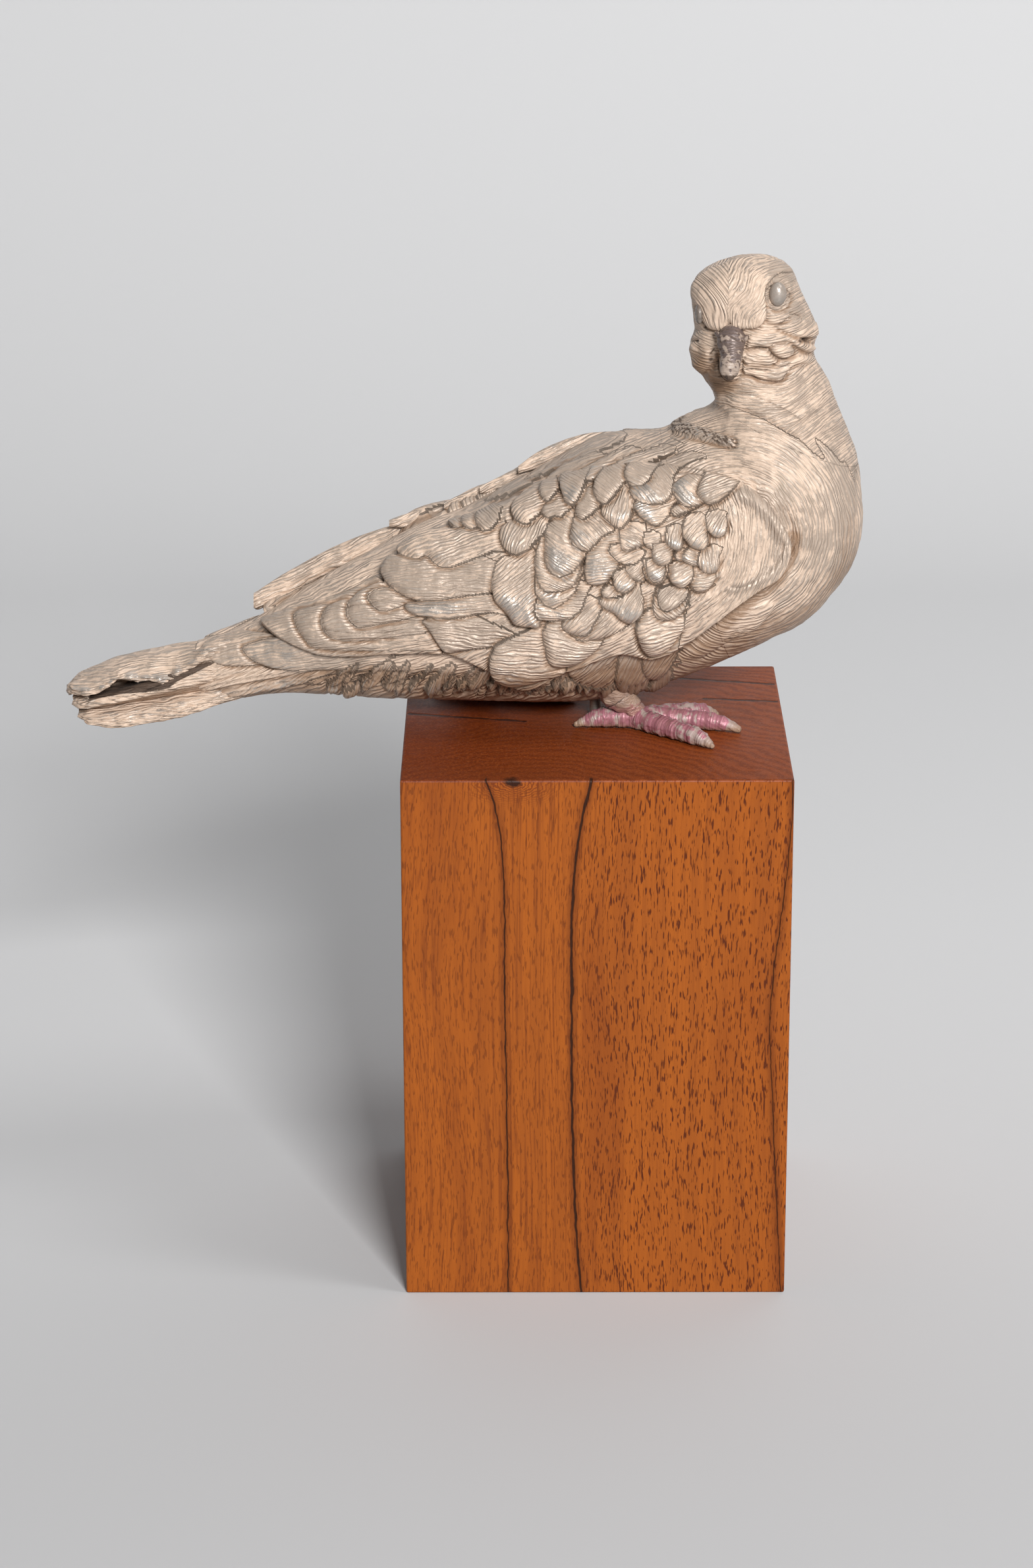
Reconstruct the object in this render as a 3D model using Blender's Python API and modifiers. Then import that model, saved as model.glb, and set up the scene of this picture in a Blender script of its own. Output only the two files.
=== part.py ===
"""A life-size cast dove on a hardwood block, with a metal pin under its belly.

Metres, +Z up. The origin is the centre of the block's underside. The dove faces +X
and turns its head towards -Y, its near side.

The dove is a free form. Its carving is drawn on its own middle plane, in steps of
1/335 of its length, with x forward and z up from its soles, and it is laid on the
body along straight lines from one point, SIGHT, in front of the near side.
"""

import bpy
import numpy as np

# Driving dimensions
PLINTH_WIDTH = 0.160
PLINTH_DEPTH = 0.152
PLINTH_HEIGHT = 0.230
PLINTH_EDGE = 0.0008
DOVE_LENGTH = 0.335
DOVE_OFFSET = 0.012
ROD_DIAMETER = 0.0048
ROD_X = 0.0005
ROD_Y = 0.0075
ROD_IN_PLINTH = 0.020
ROD_IN_DOVE = 0.022
FIT_GAP = 0.0003

# What the sizes above settle
STEP = DOVE_LENGTH / 335
SOLES = PLINTH_HEIGHT + FIT_GAP
VOXEL = 1.25 * STEP
TRIANGLES = 9200

# The point that the carving is drawn from, in the dove's own steps from its middle plane
SIGHT = np.array([-26.4, -1682.0, 558.7])

NEAR, FAR = 1, -1

# The body from the root of the tail to the crown. Each row is one cut through the
# body: the drawn upper end x, z, the drawn lower end x, z, and half the width.
BODY = np.array([
    (-168, 32, -168, 10, 14),
    (-152, 38, -152, 6, 18),
    (-140, 44, -138, 8, 21),
    (-126, 53, -122, 8.6, 25),
    (-110, 63, -104, 7, 30),
    (-92, 73, -84, 6, 34),
    (-74, 83, -64, 5.5, 38),
    (-55, 90.5, -44, 5, 41.5),
    (-37, 100, -24, 4.5, 44),
    (-18, 110.5, -3, 5, 46),
    (0, 120, 18, 8, 47),
    (14, 123.2, 38, 15.5, 47),
    (26.5, 123.8, 58, 24, 46.5),
    (34, 127.3, 76, 32.8, 45.5),
    (40.5, 130.4, 90.5, 41, 44.5),
    (45, 132.5, 101, 52.6, 43),
    (47.5, 133.8, 110, 67.5, 42),
    (48.6, 134.8, 113, 83, 40),
    (49.2, 136, 112, 97, 36.5),
    (49, 137.5, 109.8, 111, 32),
    (48.6, 139.5, 105, 124, 27.5),
    (47.3, 142, 100.4, 134, 24),
    (45, 145.7, 97, 143, 21.5),
    (42, 150, 93.4, 149.5, 20.5),
    (39.6, 155, 90.6, 154.5, 21),
    (39.4, 160, 90.4, 159.5, 22),
    (41, 166, 91.5, 165.3, 23),
    (40.2, 172, 89.3, 172, 23.5),
    (39.6, 179, 85.8, 179, 24),
    (39.9, 184.5, 83.4, 184.5, 23.5),
    (42.8, 188.6, 81.6, 189.0, 21.5),
    (48.5, 192.0, 78.4, 192.6, 17.5),
    (56, 194.6, 73.5, 195.0, 11.5),
    (62.5, 196.0, 67.5, 196.2, 4),
])
SQUARE = 2.15

# Folds and tufts carved straight into the body: how far each stands up, and its
# drawn outline. Later ones hide those before them.
BODY_FOLDS = [
    (1.6, [(-150, 36), (-165, 30), (-163, 24), (-160, 21.5), (-150, 21.5), (-125, 24), (-120, 32)]),
    (2.0, [(-130, 34), (-147, 29), (-146, 25), (-142, 22), (-135, 19.5), (-122, 18.5), (-113, 21), (-105, 30)]),
    (0.9, [(-128, 20), (-110, 12), (-75, 14), (-75, 24), (-110, 22)]),
    (0.8, [(48, 23), (56, 30), (63, 34), (69, 37.5), (74, 46), (60, 44), (46, 32), (40, 22)]),
    (1.1, [(30, 127), (40, 125.5), (50, 122), (57, 119), (56, 116), (48, 118), (36, 121), (28, 124)]),
    (1.0, [(54, 134), (63, 132), (70, 129), (77, 125), (82, 122), (88, 119), (92, 116), (96, 122), (90, 130), (76, 137),
           (60, 140)]),
    (-1.2, [(69, 180), (70.5, 187), (75, 189.5), (80, 187), (82, 180), (80, 174), (75, 172.5), (70.5, 174)]),
    (0.9, [(70, 172), (80, 171), (88, 173), (92, 170), (92, 164), (87, 161), (80, 158), (72, 161), (63, 162), (62, 166)]),
    (1.4, [(60, 149), (66, 150.5), (76, 150), (81, 152), (88, 153), (88, 151), (83, 150.5), (79.5, 147.5), (76, 144.5),
           (70, 144.5), (62, 146.5)]),
    (1.2, [(61, 152), (66, 156.5), (70.5, 157), (74, 153.5), (72, 151), (65, 150)]),
    (1.5, [(62, 158), (66, 160.3), (70.5, 160.6), (78, 158.5), (82.5, 156), (80.5, 153), (76, 152.5), (73, 155),
           (70, 157.8), (65, 157.5)]),
    (1.2, [(38, 151), (37, 160), (43, 165), (50, 163.5), (50.5, 158), (47, 151.5)]),
    (1.5, [(74, 187.5), (70.5, 185), (70, 180), (70.5, 175), (70, 171), (68, 168), (65, 166), (60, 165.5), (55.5, 167.5),
           (54, 165.5), (50, 166), (46.5, 167.5), (44.5, 171), (43, 178), (38, 184), (41, 192), (50, 198), (66, 201),
           (74, 197)]),
]
TUFT_LIFT = 1.1
TUFTS = [(-76 + 7.4 * k, 9.5 + 1.2 * (k % 2), 4.2, 5.2) for k in range(13)]
NECK_TOP = 24.0

# The folded wing's drawn upper and lower edges, from the wrist to the tip
WING_TOP = [
    (81.5, 76), (79, 82), (74.5, 89), (68, 96), (60, 101), (48, 105), (33, 108),
    (16, 109), (0, 107), (-16, 103), (-32, 96), (-48, 88), (-64, 82), (-79, 76),
    (-90, 63), (-104, 54), (-119, 49), (-132, 45), (-140, 40.5),
]
WING_BOTTOM = [
    (81.5, 74), (79.5, 68), (75.5, 60.5), (67, 55), (58, 48), (49, 40), (38, 31),
    (25, 24.5), (10, 26), (-10, 19), (-30, 11.5), (-45, 19), (-60, 25.5), (-75, 26),
    (-90, 25.5), (-104, 24), (-119, 26), (-132, 31.5), (-139.5, 37.5),
]
WING_LIFT = 3.2
WRIST_LIFT = 3.0

# Long feathers, lowest first: the root x, z, how far the tip stands up, and the
# drawn edge from one side round the tip to the other.
LONG_FEATHERS = [
    ((-70, 38), 1.6, [(-92, 60), (-105, 53), (-125, 47), (-138.5, 42), (-140.5, 39), (-135, 33.5),
                      (-120, 26.5), (-110, 24.5), (-70, 26)]),
    ((-65, 38), 2.2, [(-100, 50), (-122, 45), (-126, 41), (-122, 33), (-113, 28), (-65, 27.5)]),
    ((-60, 42), 2.6, [(-95, 52), (-110, 47.5), (-114.5, 40), (-111, 33.5), (-98, 32), (-66, 36)]),
    ((-60, 48), 2.8, [(-88, 58), (-100, 52), (-103.8, 44), (-101, 38.8), (-95, 38), (-62, 45)]),
    ((-72, 52), 2.6, [(-84, 56), (-93, 52.5), (-94.5, 49), (-88.5, 44.5), (-76, 49)]),
    ((-35, 36), 2.2, [(-60, 43), (-72, 41), (-70, 37), (-66, 30.5), (-62, 26.5), (-50, 28), (-38, 29)]),
    ((-22, 47), 2.5, [(-60, 51), (-79, 48), (-75, 43), (-60, 41.5), (-42, 44), (-32, 39)]),
    ((-30, 62), 3.0, [(-60, 69), (-83, 69.5), (-89.5, 61.5), (-84, 54), (-73, 49), (-55, 51), (-36, 54)]),
    ((-35, 78), 3.0, [(-42, 84), (-65, 80), (-75, 77.5), (-83, 70.5), (-74, 66.5), (-70, 68),
                      (-62, 63), (-42, 70.5)]),
    ((-25, 42), 2.6, [(-35, 36), (-45, 20), (-43, 15), (-35, 11.8), (-25, 13.3), (-11.5, 17), (-12, 32)]),
    ((-14, 64), 3.0, [(-30, 72), (-40, 70), (-42.5, 55), (-37, 45), (-28, 38), (-24, 44)]),
    ((-2, 42), 2.4, [(-15, 36), (-20, 31), (-19.5, 25), (-14, 21), (-8, 21.5), (5, 31), (3, 38)]),
    ((30, 46), 2.4, [(20, 41), (18, 35), (19, 30), (24, 25), (30, 26.5), (38, 35), (36, 42)]),
]

# Short round feathers, lowest first: the middle x, z, half the width and half the height
SHORT_FEATHERS = [
    (-18, 46, 7.5, 6.5), (-8, 41, 6.5, 7), (6, 39, 8.5, 6), (-18, 54, 7, 8), (-17, 62, 7.5, 9),
    (26, 44, 4.5, 4), (34, 41, 4.5, 4), (10, 45, 4, 4.5), (16, 46, 3.8, 6.5), (6, 49, 4.5, 4.5),
    (-13, 69, 8, 10.5), (24, 52, 4.5, 4.3), (33, 50, 4.8, 4.5), (41, 47, 4.5, 4), (12, 56, 5, 4.3),
    (3, 65, 7.2, 9.5), (-29, 75, 8, 7.5), (-57, 84, 4.5, 4), (-51, 84, 4.5, 4.5), (-45, 84, 4.8, 5.5),
    (16, 60.5, 4.2, 3.8), (36, 58, 5, 4.6), (45, 56, 4.6, 4.5), (54, 57, 4.6, 4.2), (25, 61, 4.4, 4.4),
    (13, 67, 4.8, 4.4), (29, 68, 4.8, 4.6), (41, 67, 4.8, 4.6), (48, 65, 4.6, 4.6), (57, 66, 5, 5),
    (-1, 77, 9, 7), (15, 76, 4.4, 4.4), (24, 75, 5, 4.6), (33, 76, 4.8, 4.8), (42, 77, 4.8, 5.6),
    (50, 73, 5, 4.6), (57, 76, 5.2, 4.8), (51, 82, 5.8, 4.8), (-29, 88, 7.2, 7), (-16, 89, 5.2, 5.4),
    (-4, 90, 4.9, 5.8), (11, 88, 6.3, 6.6), (26, 87, 8, 5.6), (39, 88, 6, 4.2), (-19, 97, 3.8, 3.8),
    (-10, 97, 4.8, 5.3), (4, 98, 6, 7.4), (24, 95, 7.6, 5.8), (38, 94.5, 6.8, 6.2), (51, 97, 7.8, 6.2),
    (19, 103, 6.4, 5.4),
]
SHORT_LIFT = 1.9
FEATHER_EDGE = 1.4

# Feathers of the far wing that stand up along the back: drawn spine points from
# the tip forward, with half the height and the distance past the middle plane.
FAR_LOBES = [
    [(-143.5, 49.5, 3.2, 11), (-141, 50, 4.2, 13), (-133, 55, 4.6, 15), (-120, 62, 5.2, 17), (-106, 69, 5.4, 18), (-88, 76, 5.2, 18),
     (-70, 80, 5, 18)],
    [(-86, 83, 1.6, 15), (-80, 84, 2.8, 16), (-70, 86, 3.4, 17), (-55, 88, 3.6, 18), (-40, 92, 4, 18)],
    [(-63, 90.5, 1.4, 13), (-57, 92, 3, 15), (-48, 95, 4.4, 16), (-34, 98, 5, 17), (-20, 102, 5, 18)],
    [(-48, 97.5, 1.6, 12), (-41, 99.5, 3, 14), (-31, 103, 4.4, 15), (-18, 107, 5, 16), (-4, 111, 5, 17)],
    [(-32, 106, 1.6, 11), (-24, 110, 3.6, 13), (-14, 114, 4.4, 14), (-2, 117, 4.8, 15), (14, 118, 4.6, 16)],
]
LOBE_THICKNESS = 2.6

# The tail's three layers, each from the tip forward: x, the top and bottom z on the
# middle plane, and how far the layer reaches to the near and to the far side.
TAIL_LAYERS = [
    [(-223, 12.5, 9, 8, 9), (-219.5, 16, 10.5, 15, 11), (-212, 19.5, 14, 20, 13), (-205, 22, 17.5, 20, 15),
     (-197, 24.2, 20.3, 16, 16), (-188, 26, 22, 17, 17), (-178, 28, 24, 16, 17), (-170, 29.5, 24, 15, 16),
     (-160, 32, 20, 15, 15), (-146, 34, 18, 13, 14)],
    [(-221, 9, 5, 9, 8), (-215.5, 11, 4.5, 15, 13), (-204, 13, 5, 17.5, 15), (-190, 17, 7, 18, 16),
     (-175, 21.5, 9, 17.5, 16), (-160, 26, 10, 16, 15), (-146, 28, 10, 14, 14)],
    [(-218.5, 4.5, 1.5, 9, 8), (-212, 5.5, -1, 15, 13), (-200, 7, -1.5, 18, 15), (-186, 9.5, 0.8, 18.5, 15),
     (-170, 13, 4, 17, 14), (-156, 18, 8, 14, 12), (-142, 20, 12, 11, 10)],
]
LAYER_SQUARE = 2.9
LAYER_DROOP = 2.0

# The beak, from inside the face to the tip: drawn x, z, distance from the middle
# plane towards the near side, and its radius.
BEAK = [(57, 170, 17, 5.5), (56.6, 164, 23, 6.4), (56.6, 158, 27, 4.7), (56.2, 153.5, 30, 3.9), (55.9, 150, 32.3, 3.9),
        (55.8, 147.5, 34, 3.1), (55.6, 146.2, 35.2, 1.6)]
CERE = (56.5, 162.8, 23.5, 6.6, 4.0, 3.2)

# Eyes: drawn x, z, distance towards the near side, and half the width, depth and height
EYES = [(74.5, 180.5, 20.5, 4.0, 3.2, 4.9), (44.3, 173.5, 13.5, 3.2, 4.0, 4.8)]

# A foot from its hub: for each toe the points x, y to the claw's tip
TOES = [
    [(0, 0), (11, 1.5), (22, -0.5), (33, -3.5), (41.5, -6.5)],
    [(0, 0), (9, 5), (18, 9), (26, 11.5), (33, 13)],
    [(0, 0), (8, -8.5), (16.5, -16), (24, -22.5), (29.5, -27.5)],
    [(0, 0), (-9, 1.5), (-17, 1.5), (-26, 1)],
]
TOE_RADII = [4.4, 4.0, 3.7, 3.3, 1.3]
NEAR_HUB = (18.5, -21.5)
FAR_HUB = (-42, 26)
# The leg from the hub up into the belly: x and y beside the hub, z, and its radius
LEG = [(0, 0, 4.4, 4.6), (-3, 0.5, 9, 4.6), (-8, 1, 14, 7.5), (-11, 2, 22, 11)]


def spline(rows, at):
    """The rows read at fractional row numbers, along smooth curves through every row."""
    rows = np.asarray(rows, float)
    at = np.clip(np.asarray(at, float), 0, len(rows) - 1.000001)
    first = at.astype(int)
    part = (at - first)[..., None]
    before, start, end, after = (rows[np.clip(first + k, 0, len(rows) - 1)] for k in (-1, 0, 1, 2))
    return start + 0.5 * part * (
        end - before
        + part * (2 * before - 5 * start + 4 * end - after + part * (3 * start - before - 3 * end + after))
    )


def drawn(points):
    """Where points of the dove appear on the middle plane, along lines from SIGHT: x and z."""
    reach = -SIGHT[1] / (points[..., 1] - SIGHT[1])
    return np.stack([
        SIGHT[0] + reach * (points[..., 0] - SIGHT[0]),
        SIGHT[2] + reach * (points[..., 2] - SIGHT[2]),
    ], axis=-1)


def placed(x, z, y):
    """The point at distance y from the middle plane that is drawn at x, z."""
    reach = (y - SIGHT[1]) / -SIGHT[1]
    return np.stack([SIGHT[0] + reach * (x - SIGHT[0]), y + 0 * x, SIGHT[2] + reach * (z - SIGHT[2])], axis=-1)


def rounded(value, square):
    """A sine or cosine bent so that a circle becomes a fuller, squarer oval."""
    return np.sign(value) * np.abs(value) ** (2 / square)


def cut_point(cut, turn):
    """A point on an oval cut: turn 0 is its upper end, a quarter turn is the near side."""
    up = rounded(np.cos(turn), SQUARE)
    out = rounded(np.sin(turn), SQUARE)
    return np.stack([
        (cut[..., 0] + cut[..., 2]) / 2 + (cut[..., 0] - cut[..., 2]) / 2 * up,
        -cut[..., 4] * out,
        (cut[..., 1] + cut[..., 3]) / 2 + (cut[..., 1] - cut[..., 3]) / 2 * up,
    ], axis=-1)


def true_cuts(rows):
    """Cuts whose far edges, drawn from SIGHT, meet the drawn ends.

    A round cut seen from above shows past its own ends, so each end is drawn in
    until the furthest drawn point of the cut lies on the drawn outline."""
    cuts = rows.astype(float).copy()
    turn = np.linspace(0, 2 * np.pi, 73)[None, :]
    for _ in range(6):
        seen = drawn(cut_point(cuts[:, None, :], turn))
        for end, other in ((0, 2), (2, 0)):
            goal = rows[:, end:end + 2]
            along = goal - rows[:, other:other + 2]
            along = along / np.linalg.norm(along, axis=1, keepdims=True)
            furthest = np.einsum("rtk,rk->rt", seen, along).max(axis=1)
            cuts[:, end:end + 2] += ((along * goal).sum(axis=1) - furthest)[:, None] * along
    return cuts


CUTS = true_cuts(BODY)


def body_point(at, turn):
    return cut_point(spline(CUTS, at), turn)


def body_normal(at, turn):
    """The outward direction of the body's skin."""
    nudge = 1e-3
    along = body_point(at + nudge, turn) - body_point(at - nudge, turn)
    round_it = body_point(at, turn + nudge) - body_point(at, turn - nudge)
    normal = np.cross(round_it, along)
    return normal / np.maximum(np.linalg.norm(normal, axis=-1, keepdims=True), 1e-9)


def find_on_body(points):
    """Row number and turn of the near-side body points that are drawn at these points."""
    points = np.asarray(points, float)
    at, turn = np.meshgrid(np.linspace(0.5, NECK_TOP, 240), np.linspace(0.15, np.pi - 0.1, 120), indexing="ij")
    at, turn = at.ravel(), turn.ravel()
    seen = drawn(body_point(at, turn))
    nearest = ((seen[None] - points[:, None]) ** 2).sum(axis=-1).argmin(axis=1)
    at, turn = at[nearest], turn[nearest]
    nudge = 1e-3
    for _ in range(5):
        here = drawn(body_point(at, turn))
        by_at = (drawn(body_point(at + nudge, turn)) - here) / nudge
        by_turn = (drawn(body_point(at, turn + nudge)) - here) / nudge
        miss = points - here
        area = by_at[:, 0] * by_turn[:, 1] - by_at[:, 1] * by_turn[:, 0]
        area = np.where(np.abs(area) < 1, np.sign(area + 1e-9), area)
        at = at + np.clip((miss[:, 0] * by_turn[:, 1] - miss[:, 1] * by_turn[:, 0]) / area, -0.5, 0.5)
        turn = turn + np.clip((by_at[:, 0] * miss[:, 1] - by_at[:, 1] * miss[:, 0]) / area, -0.2, 0.2)
        turn = np.clip(turn, 0.05, np.pi - 0.03)
    return at, turn


def smooth(value):
    """0 below 0, 1 above 1, and an even rise between."""
    value = np.clip(value, 0, 1)
    return value * value * (3 - 2 * value)


def inside_distance(points, outline):
    """Distance from each point to a closed outline, above 0 inside it."""
    start = np.asarray(outline, float)
    end = np.roll(start, -1, axis=0)
    side = end - start
    to_point = points[:, None, :] - start[None]
    part = np.clip((to_point * side).sum(-1) / (side * side).sum(-1), 0, 1)
    gap = np.linalg.norm(to_point - part[..., None] * side, axis=-1).min(axis=1)
    above = start[:, 1] > points[:, 1:2]
    crossing = (above != (end[:, 1] > points[:, 1:2])) & (
        points[:, 0:1] < side[:, 0] * (points[:, 1:2] - start[:, 1]) / np.where(side[:, 1] == 0, 1e-9, side[:, 1])
        + start[:, 0]
    )
    return np.where(crossing.sum(axis=1) % 2 == 1, gap, -gap)


def ovals(rows, lift):
    """Round feathers as root, lift and outline: the root is up and forward of the middle."""
    turn = np.linspace(0, 2 * np.pi, 15)[:-1]
    for x, z, half_width, half_height in rows:
        oval = np.stack([x + half_width * np.sin(turn), z + half_height * np.cos(turn)], axis=-1)
        yield np.array([x + 0.5 * half_width, z + half_height]), lift, oval


def wing_feathers():
    """The wing's feathers as root, lift and closed outline, lowest first."""
    for root, lift, edge in LONG_FEATHERS:
        edge = spline(edge, np.linspace(0, len(edge) - 1, 3 * len(edge)))
        yield np.array(root, float), lift, np.vstack([edge, [root]])
    yield from ovals(SHORT_FEATHERS, SHORT_LIFT)


def body_folds():
    """The body's folds and tufts in the same form; a fold's lift is even all over."""
    yield from ovals(TUFTS, TUFT_LIFT)
    for lift, outline in BODY_FOLDS:
        yield None, lift, np.array(outline, float)


def carving(seen, shapes):
    """How far the carved shapes stand up at each drawn point.

    Each shape hides those before it. A feather rises from its root to its tip, and
    every shape ends in a rounded edge with a groove along its outside."""
    height = np.zeros(len(seen))
    for root, lift, outline in shapes:
        box = np.all((seen > outline.min(axis=0) - 3) & (seen < outline.max(axis=0) + 3), axis=1)
        points = seen[box]
        if not len(points):
            continue
        depth = inside_distance(points, outline)
        rise = 1.0
        if root is not None:
            reach = np.linalg.norm(outline - root, axis=1).max()
            rise = 0.25 + 0.75 * np.clip(np.linalg.norm(points - root, axis=1) / reach, 0, 1)
        cover = smooth(depth / FEATHER_EDGE + 0.5)
        groove = 0.3 * abs(lift) * np.exp(-((depth + 0.8) / 0.9) ** 2)
        height[box] = (height[box] - groove) * (1 - cover) + lift * rise * cover
    return height


def grid_faces(rows, columns):
    """Quads between the points of a grid whose rows close round on themselves."""
    row, column = np.meshgrid(np.arange(rows - 1), np.arange(columns), indexing="ij")
    after = (column + 1) % columns
    return np.stack([
        row * columns + column, row * columns + after, (row + 1) * columns + after, (row + 1) * columns + column,
    ], axis=-1).reshape(-1, 4)


def closed_loft(rings):
    """A closed skin through rings of points, with a point in the middle of each end ring."""
    rows, columns = rings.shape[:2]
    points = np.vstack([rings.reshape(-1, 3), rings[0].mean(axis=0), rings[-1].mean(axis=0)])
    column = np.arange(columns)
    after = (column + 1) % columns
    first = np.stack([after, column, np.full(columns, rows * columns)], axis=-1)
    base = (rows - 1) * columns
    last = np.stack([base + column, base + after, np.full(columns, rows * columns + 1)], axis=-1)
    faces = grid_faces(rows, columns).tolist() + first.tolist() + last.tolist()
    start = points[faces[0][0]]
    volume = sum(
        np.dot(points[face[0]] - start, np.cross(points[face[k]] - start, points[face[k + 1]] - start))
        for face in faces for k in range(1, len(face) - 1)
    )
    return points, faces if volume > 0 else [face[::-1] for face in faces]


def trunk():
    """Body, neck and head in one skin, with the folds carved on both sides.

    The far side takes the near side's folds mirrored, at half their height, and the
    face is on the near side only."""
    at = np.concatenate([np.linspace(0, 21, 120), np.linspace(21.2, len(CUTS) - 1, 60)])[:, None]
    turn = np.linspace(0, 2 * np.pi, 121)[:-1][None, :]
    skin = body_point(at, turn)
    facing = skin * (1, 1, 1)
    facing[..., 1] = -np.abs(skin[..., 1])
    height = carving(drawn(facing).reshape(-1, 2), list(body_folds())).reshape(skin.shape[:2])
    far = skin[..., 1] > 0
    height = height * np.where(far, np.where(at > NECK_TOP - 2, 0, 0.5), 1.0)
    height = height * smooth(np.abs(skin[..., 1]) / 8)
    return closed_loft(skin + body_normal(at, turn) * height[..., None])


def wing(side):
    """A folded wing: a shell that follows the body's skin between its drawn edges."""
    rows, across = 190, 70
    along = np.linspace(0, len(WING_TOP) - 1, rows)
    top_at, top_turn = find_on_body(spline(WING_TOP, along))
    low_at, low_turn = find_on_body(spline(WING_BOTTOM, along))
    part = np.linspace(0, 1, across)[None, :]
    at = top_at[:, None] + (low_at - top_at)[:, None] * part
    turn = top_turn[:, None] + (low_turn - top_turn)[:, None] * part
    skin = body_point(at, turn)
    out = body_normal(at, turn)
    length = np.linalg.norm(np.diff(skin, axis=1), axis=-1).sum(axis=1)[:, None]
    from_edge = np.minimum(part, 1 - part) * length
    wrist = WRIST_LIFT * smooth((drawn(skin)[..., 0] - 35) / 35) * (1 - smooth(from_edge / 16))
    lift = WING_LIFT * smooth(from_edge / 1.6 + 0.1) * smooth(0.25 + part * length / 14) + wrist
    seen = drawn(skin + out * lift[..., None])
    lift = lift + carving(seen.reshape(-1, 2), wing_feathers()).reshape(lift.shape) * smooth(from_edge / 2.0)
    outer = skin + out * lift[..., None]
    inner = (skin - out * 4.0)[:, ::-6]
    rings = np.concatenate([outer, inner], axis=1)
    rings[..., 1] *= side
    return closed_loft(rings)


def tube(points, radii, sides=14, knobs=0.0):
    """A round bar along smooth curves through the points, with domed ends."""
    points, radii = np.asarray(points, float), np.asarray(radii, float)
    at = np.linspace(0, len(points) - 1, 8 * len(points))
    middle = spline(points, at)
    radius = spline(radii[:, None], at)[:, 0] * (1 + knobs * np.sin(at * 2 * np.pi) ** 2)
    ahead = np.gradient(middle, axis=0)
    ahead /= np.linalg.norm(ahead, axis=1, keepdims=True)
    dome = 0.5 * np.pi * np.linspace(0, 1, 4)[:-1]
    first = [(middle[0] - ahead[0] * radius[0] * np.cos(a), ahead[0], radius[0] * np.sin(a) + 0.02) for a in dome]
    last = [(middle[-1] + ahead[-1] * radius[-1] * np.cos(a), ahead[-1], radius[-1] * np.sin(a) + 0.02) for a in dome]
    stations = first + list(zip(middle, ahead, radius)) + last[::-1]
    turn = np.linspace(0, 2 * np.pi, sides + 1)[:-1, None]
    rings = []
    for centre, direction, size in stations:
        helper = np.array([0.0, 0.0, 1.0]) if abs(direction[2]) < 0.8 else np.array([0.0, 1.0, 0.0])
        across = np.cross(direction, helper)
        across /= np.linalg.norm(across)
        up = np.cross(across, direction)
        rings.append(centre + size * (np.cos(turn) * across + np.sin(turn) * up))
    return closed_loft(np.array(rings))


def oval_ball(centre, half, rings=14, sides=20):
    """A ball stretched along X, Y and Z."""
    fall = np.linspace(0.08, np.pi - 0.08, rings)[:, None]
    turn = np.linspace(0, 2 * np.pi, sides + 1)[:-1][None, :]
    ball = np.stack([np.sin(fall) * np.cos(turn), np.sin(fall) * np.sin(turn), np.cos(fall) + 0 * turn], axis=-1)
    return closed_loft(np.asarray(centre) + ball * np.asarray(half))


def far_lobe(spine):
    """A blade of the far wing that stands along the back."""
    at = np.linspace(0, len(spine) - 1, 30)
    x, z, half_height, y = spline(spine, at).T
    turn = np.linspace(0, 2 * np.pi, 25)[:-1]
    middle = placed(x, z, y)
    up = np.array([0.0, 0.35, 0.94])
    out = np.array([0.0, 0.94, -0.35])
    rings = (
        middle[:, None, :]
        + (half_height[:, None] * np.cos(turn))[..., None] * up
        + (LOBE_THICKNESS * np.sqrt(half_height / half_height.max())[:, None] * np.sin(turn))[..., None] * out
    )
    return closed_loft(rings)


def tail_layer(rows):
    """One layer of the tail: a flat blade that droops towards both edges."""
    at = np.linspace(0, len(rows) - 1, 60)[:, None]
    turn = np.linspace(0, 2 * np.pi, 49)[:-1][None, :]
    row = spline(rows, at)
    out = rounded(np.sin(turn), LAYER_SQUARE)
    up = rounded(np.cos(turn), LAYER_SQUARE)
    reach = np.where(out > 0, row[..., 3], row[..., 4])
    z = (row[..., 1] + row[..., 2]) / 2 + (row[..., 1] - row[..., 2]) / 2 * up - LAYER_DROOP * out * out
    return closed_loft(np.stack([row[..., 0] + 0 * out, -reach * out, z], axis=-1))


def foot(hub, side):
    """Four toes lying on the block, and the leg up into the belly."""
    for toe in TOES:
        radii = TOE_RADII[:len(toe) - 1] + TOE_RADII[-1:]
        points = [
            (hub[0] + x, hub[1] + side * y, radius)
            for (x, y), radius in zip(toe, radii)
        ]
        yield tube(points, radii, knobs=0.10)
    yield tube(
        [(hub[0] + x, hub[1] + y, z) for x, y, z, _ in LEG],
        [radius for *_, radius in LEG],
        sides=20,
    )


def dove_shells():
    """Every closed skin that the one casting is made from."""
    yield trunk()
    yield wing(NEAR)
    yield wing(FAR)
    for spine in FAR_LOBES:
        yield far_lobe(spine)
    for rows in TAIL_LAYERS:
        yield tail_layer(rows)
    beak = np.array(BEAK)
    yield tube(placed(beak[:, 0], beak[:, 1], -beak[:, 2]), beak[:, 3], sides=18)
    for x, z, near, *half in [CERE] + EYES:
        yield oval_ball(placed(np.float64(x), np.float64(z), np.float64(-near)), half)
    yield from foot(NEAR_HUB, 1)
    yield from foot(FAR_HUB, -1)


def material(name, colour, roughness, metallic):
    made = bpy.data.materials.new(name)
    made.use_nodes = True
    made.diffuse_color = (*colour, 1)
    shader = made.node_tree.nodes["Principled BSDF"]
    shader.inputs["Base Color"].default_value = (*colour, 1)
    shader.inputs["Roughness"].default_value = roughness
    shader.inputs["Metallic"].default_value = metallic
    return made


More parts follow.
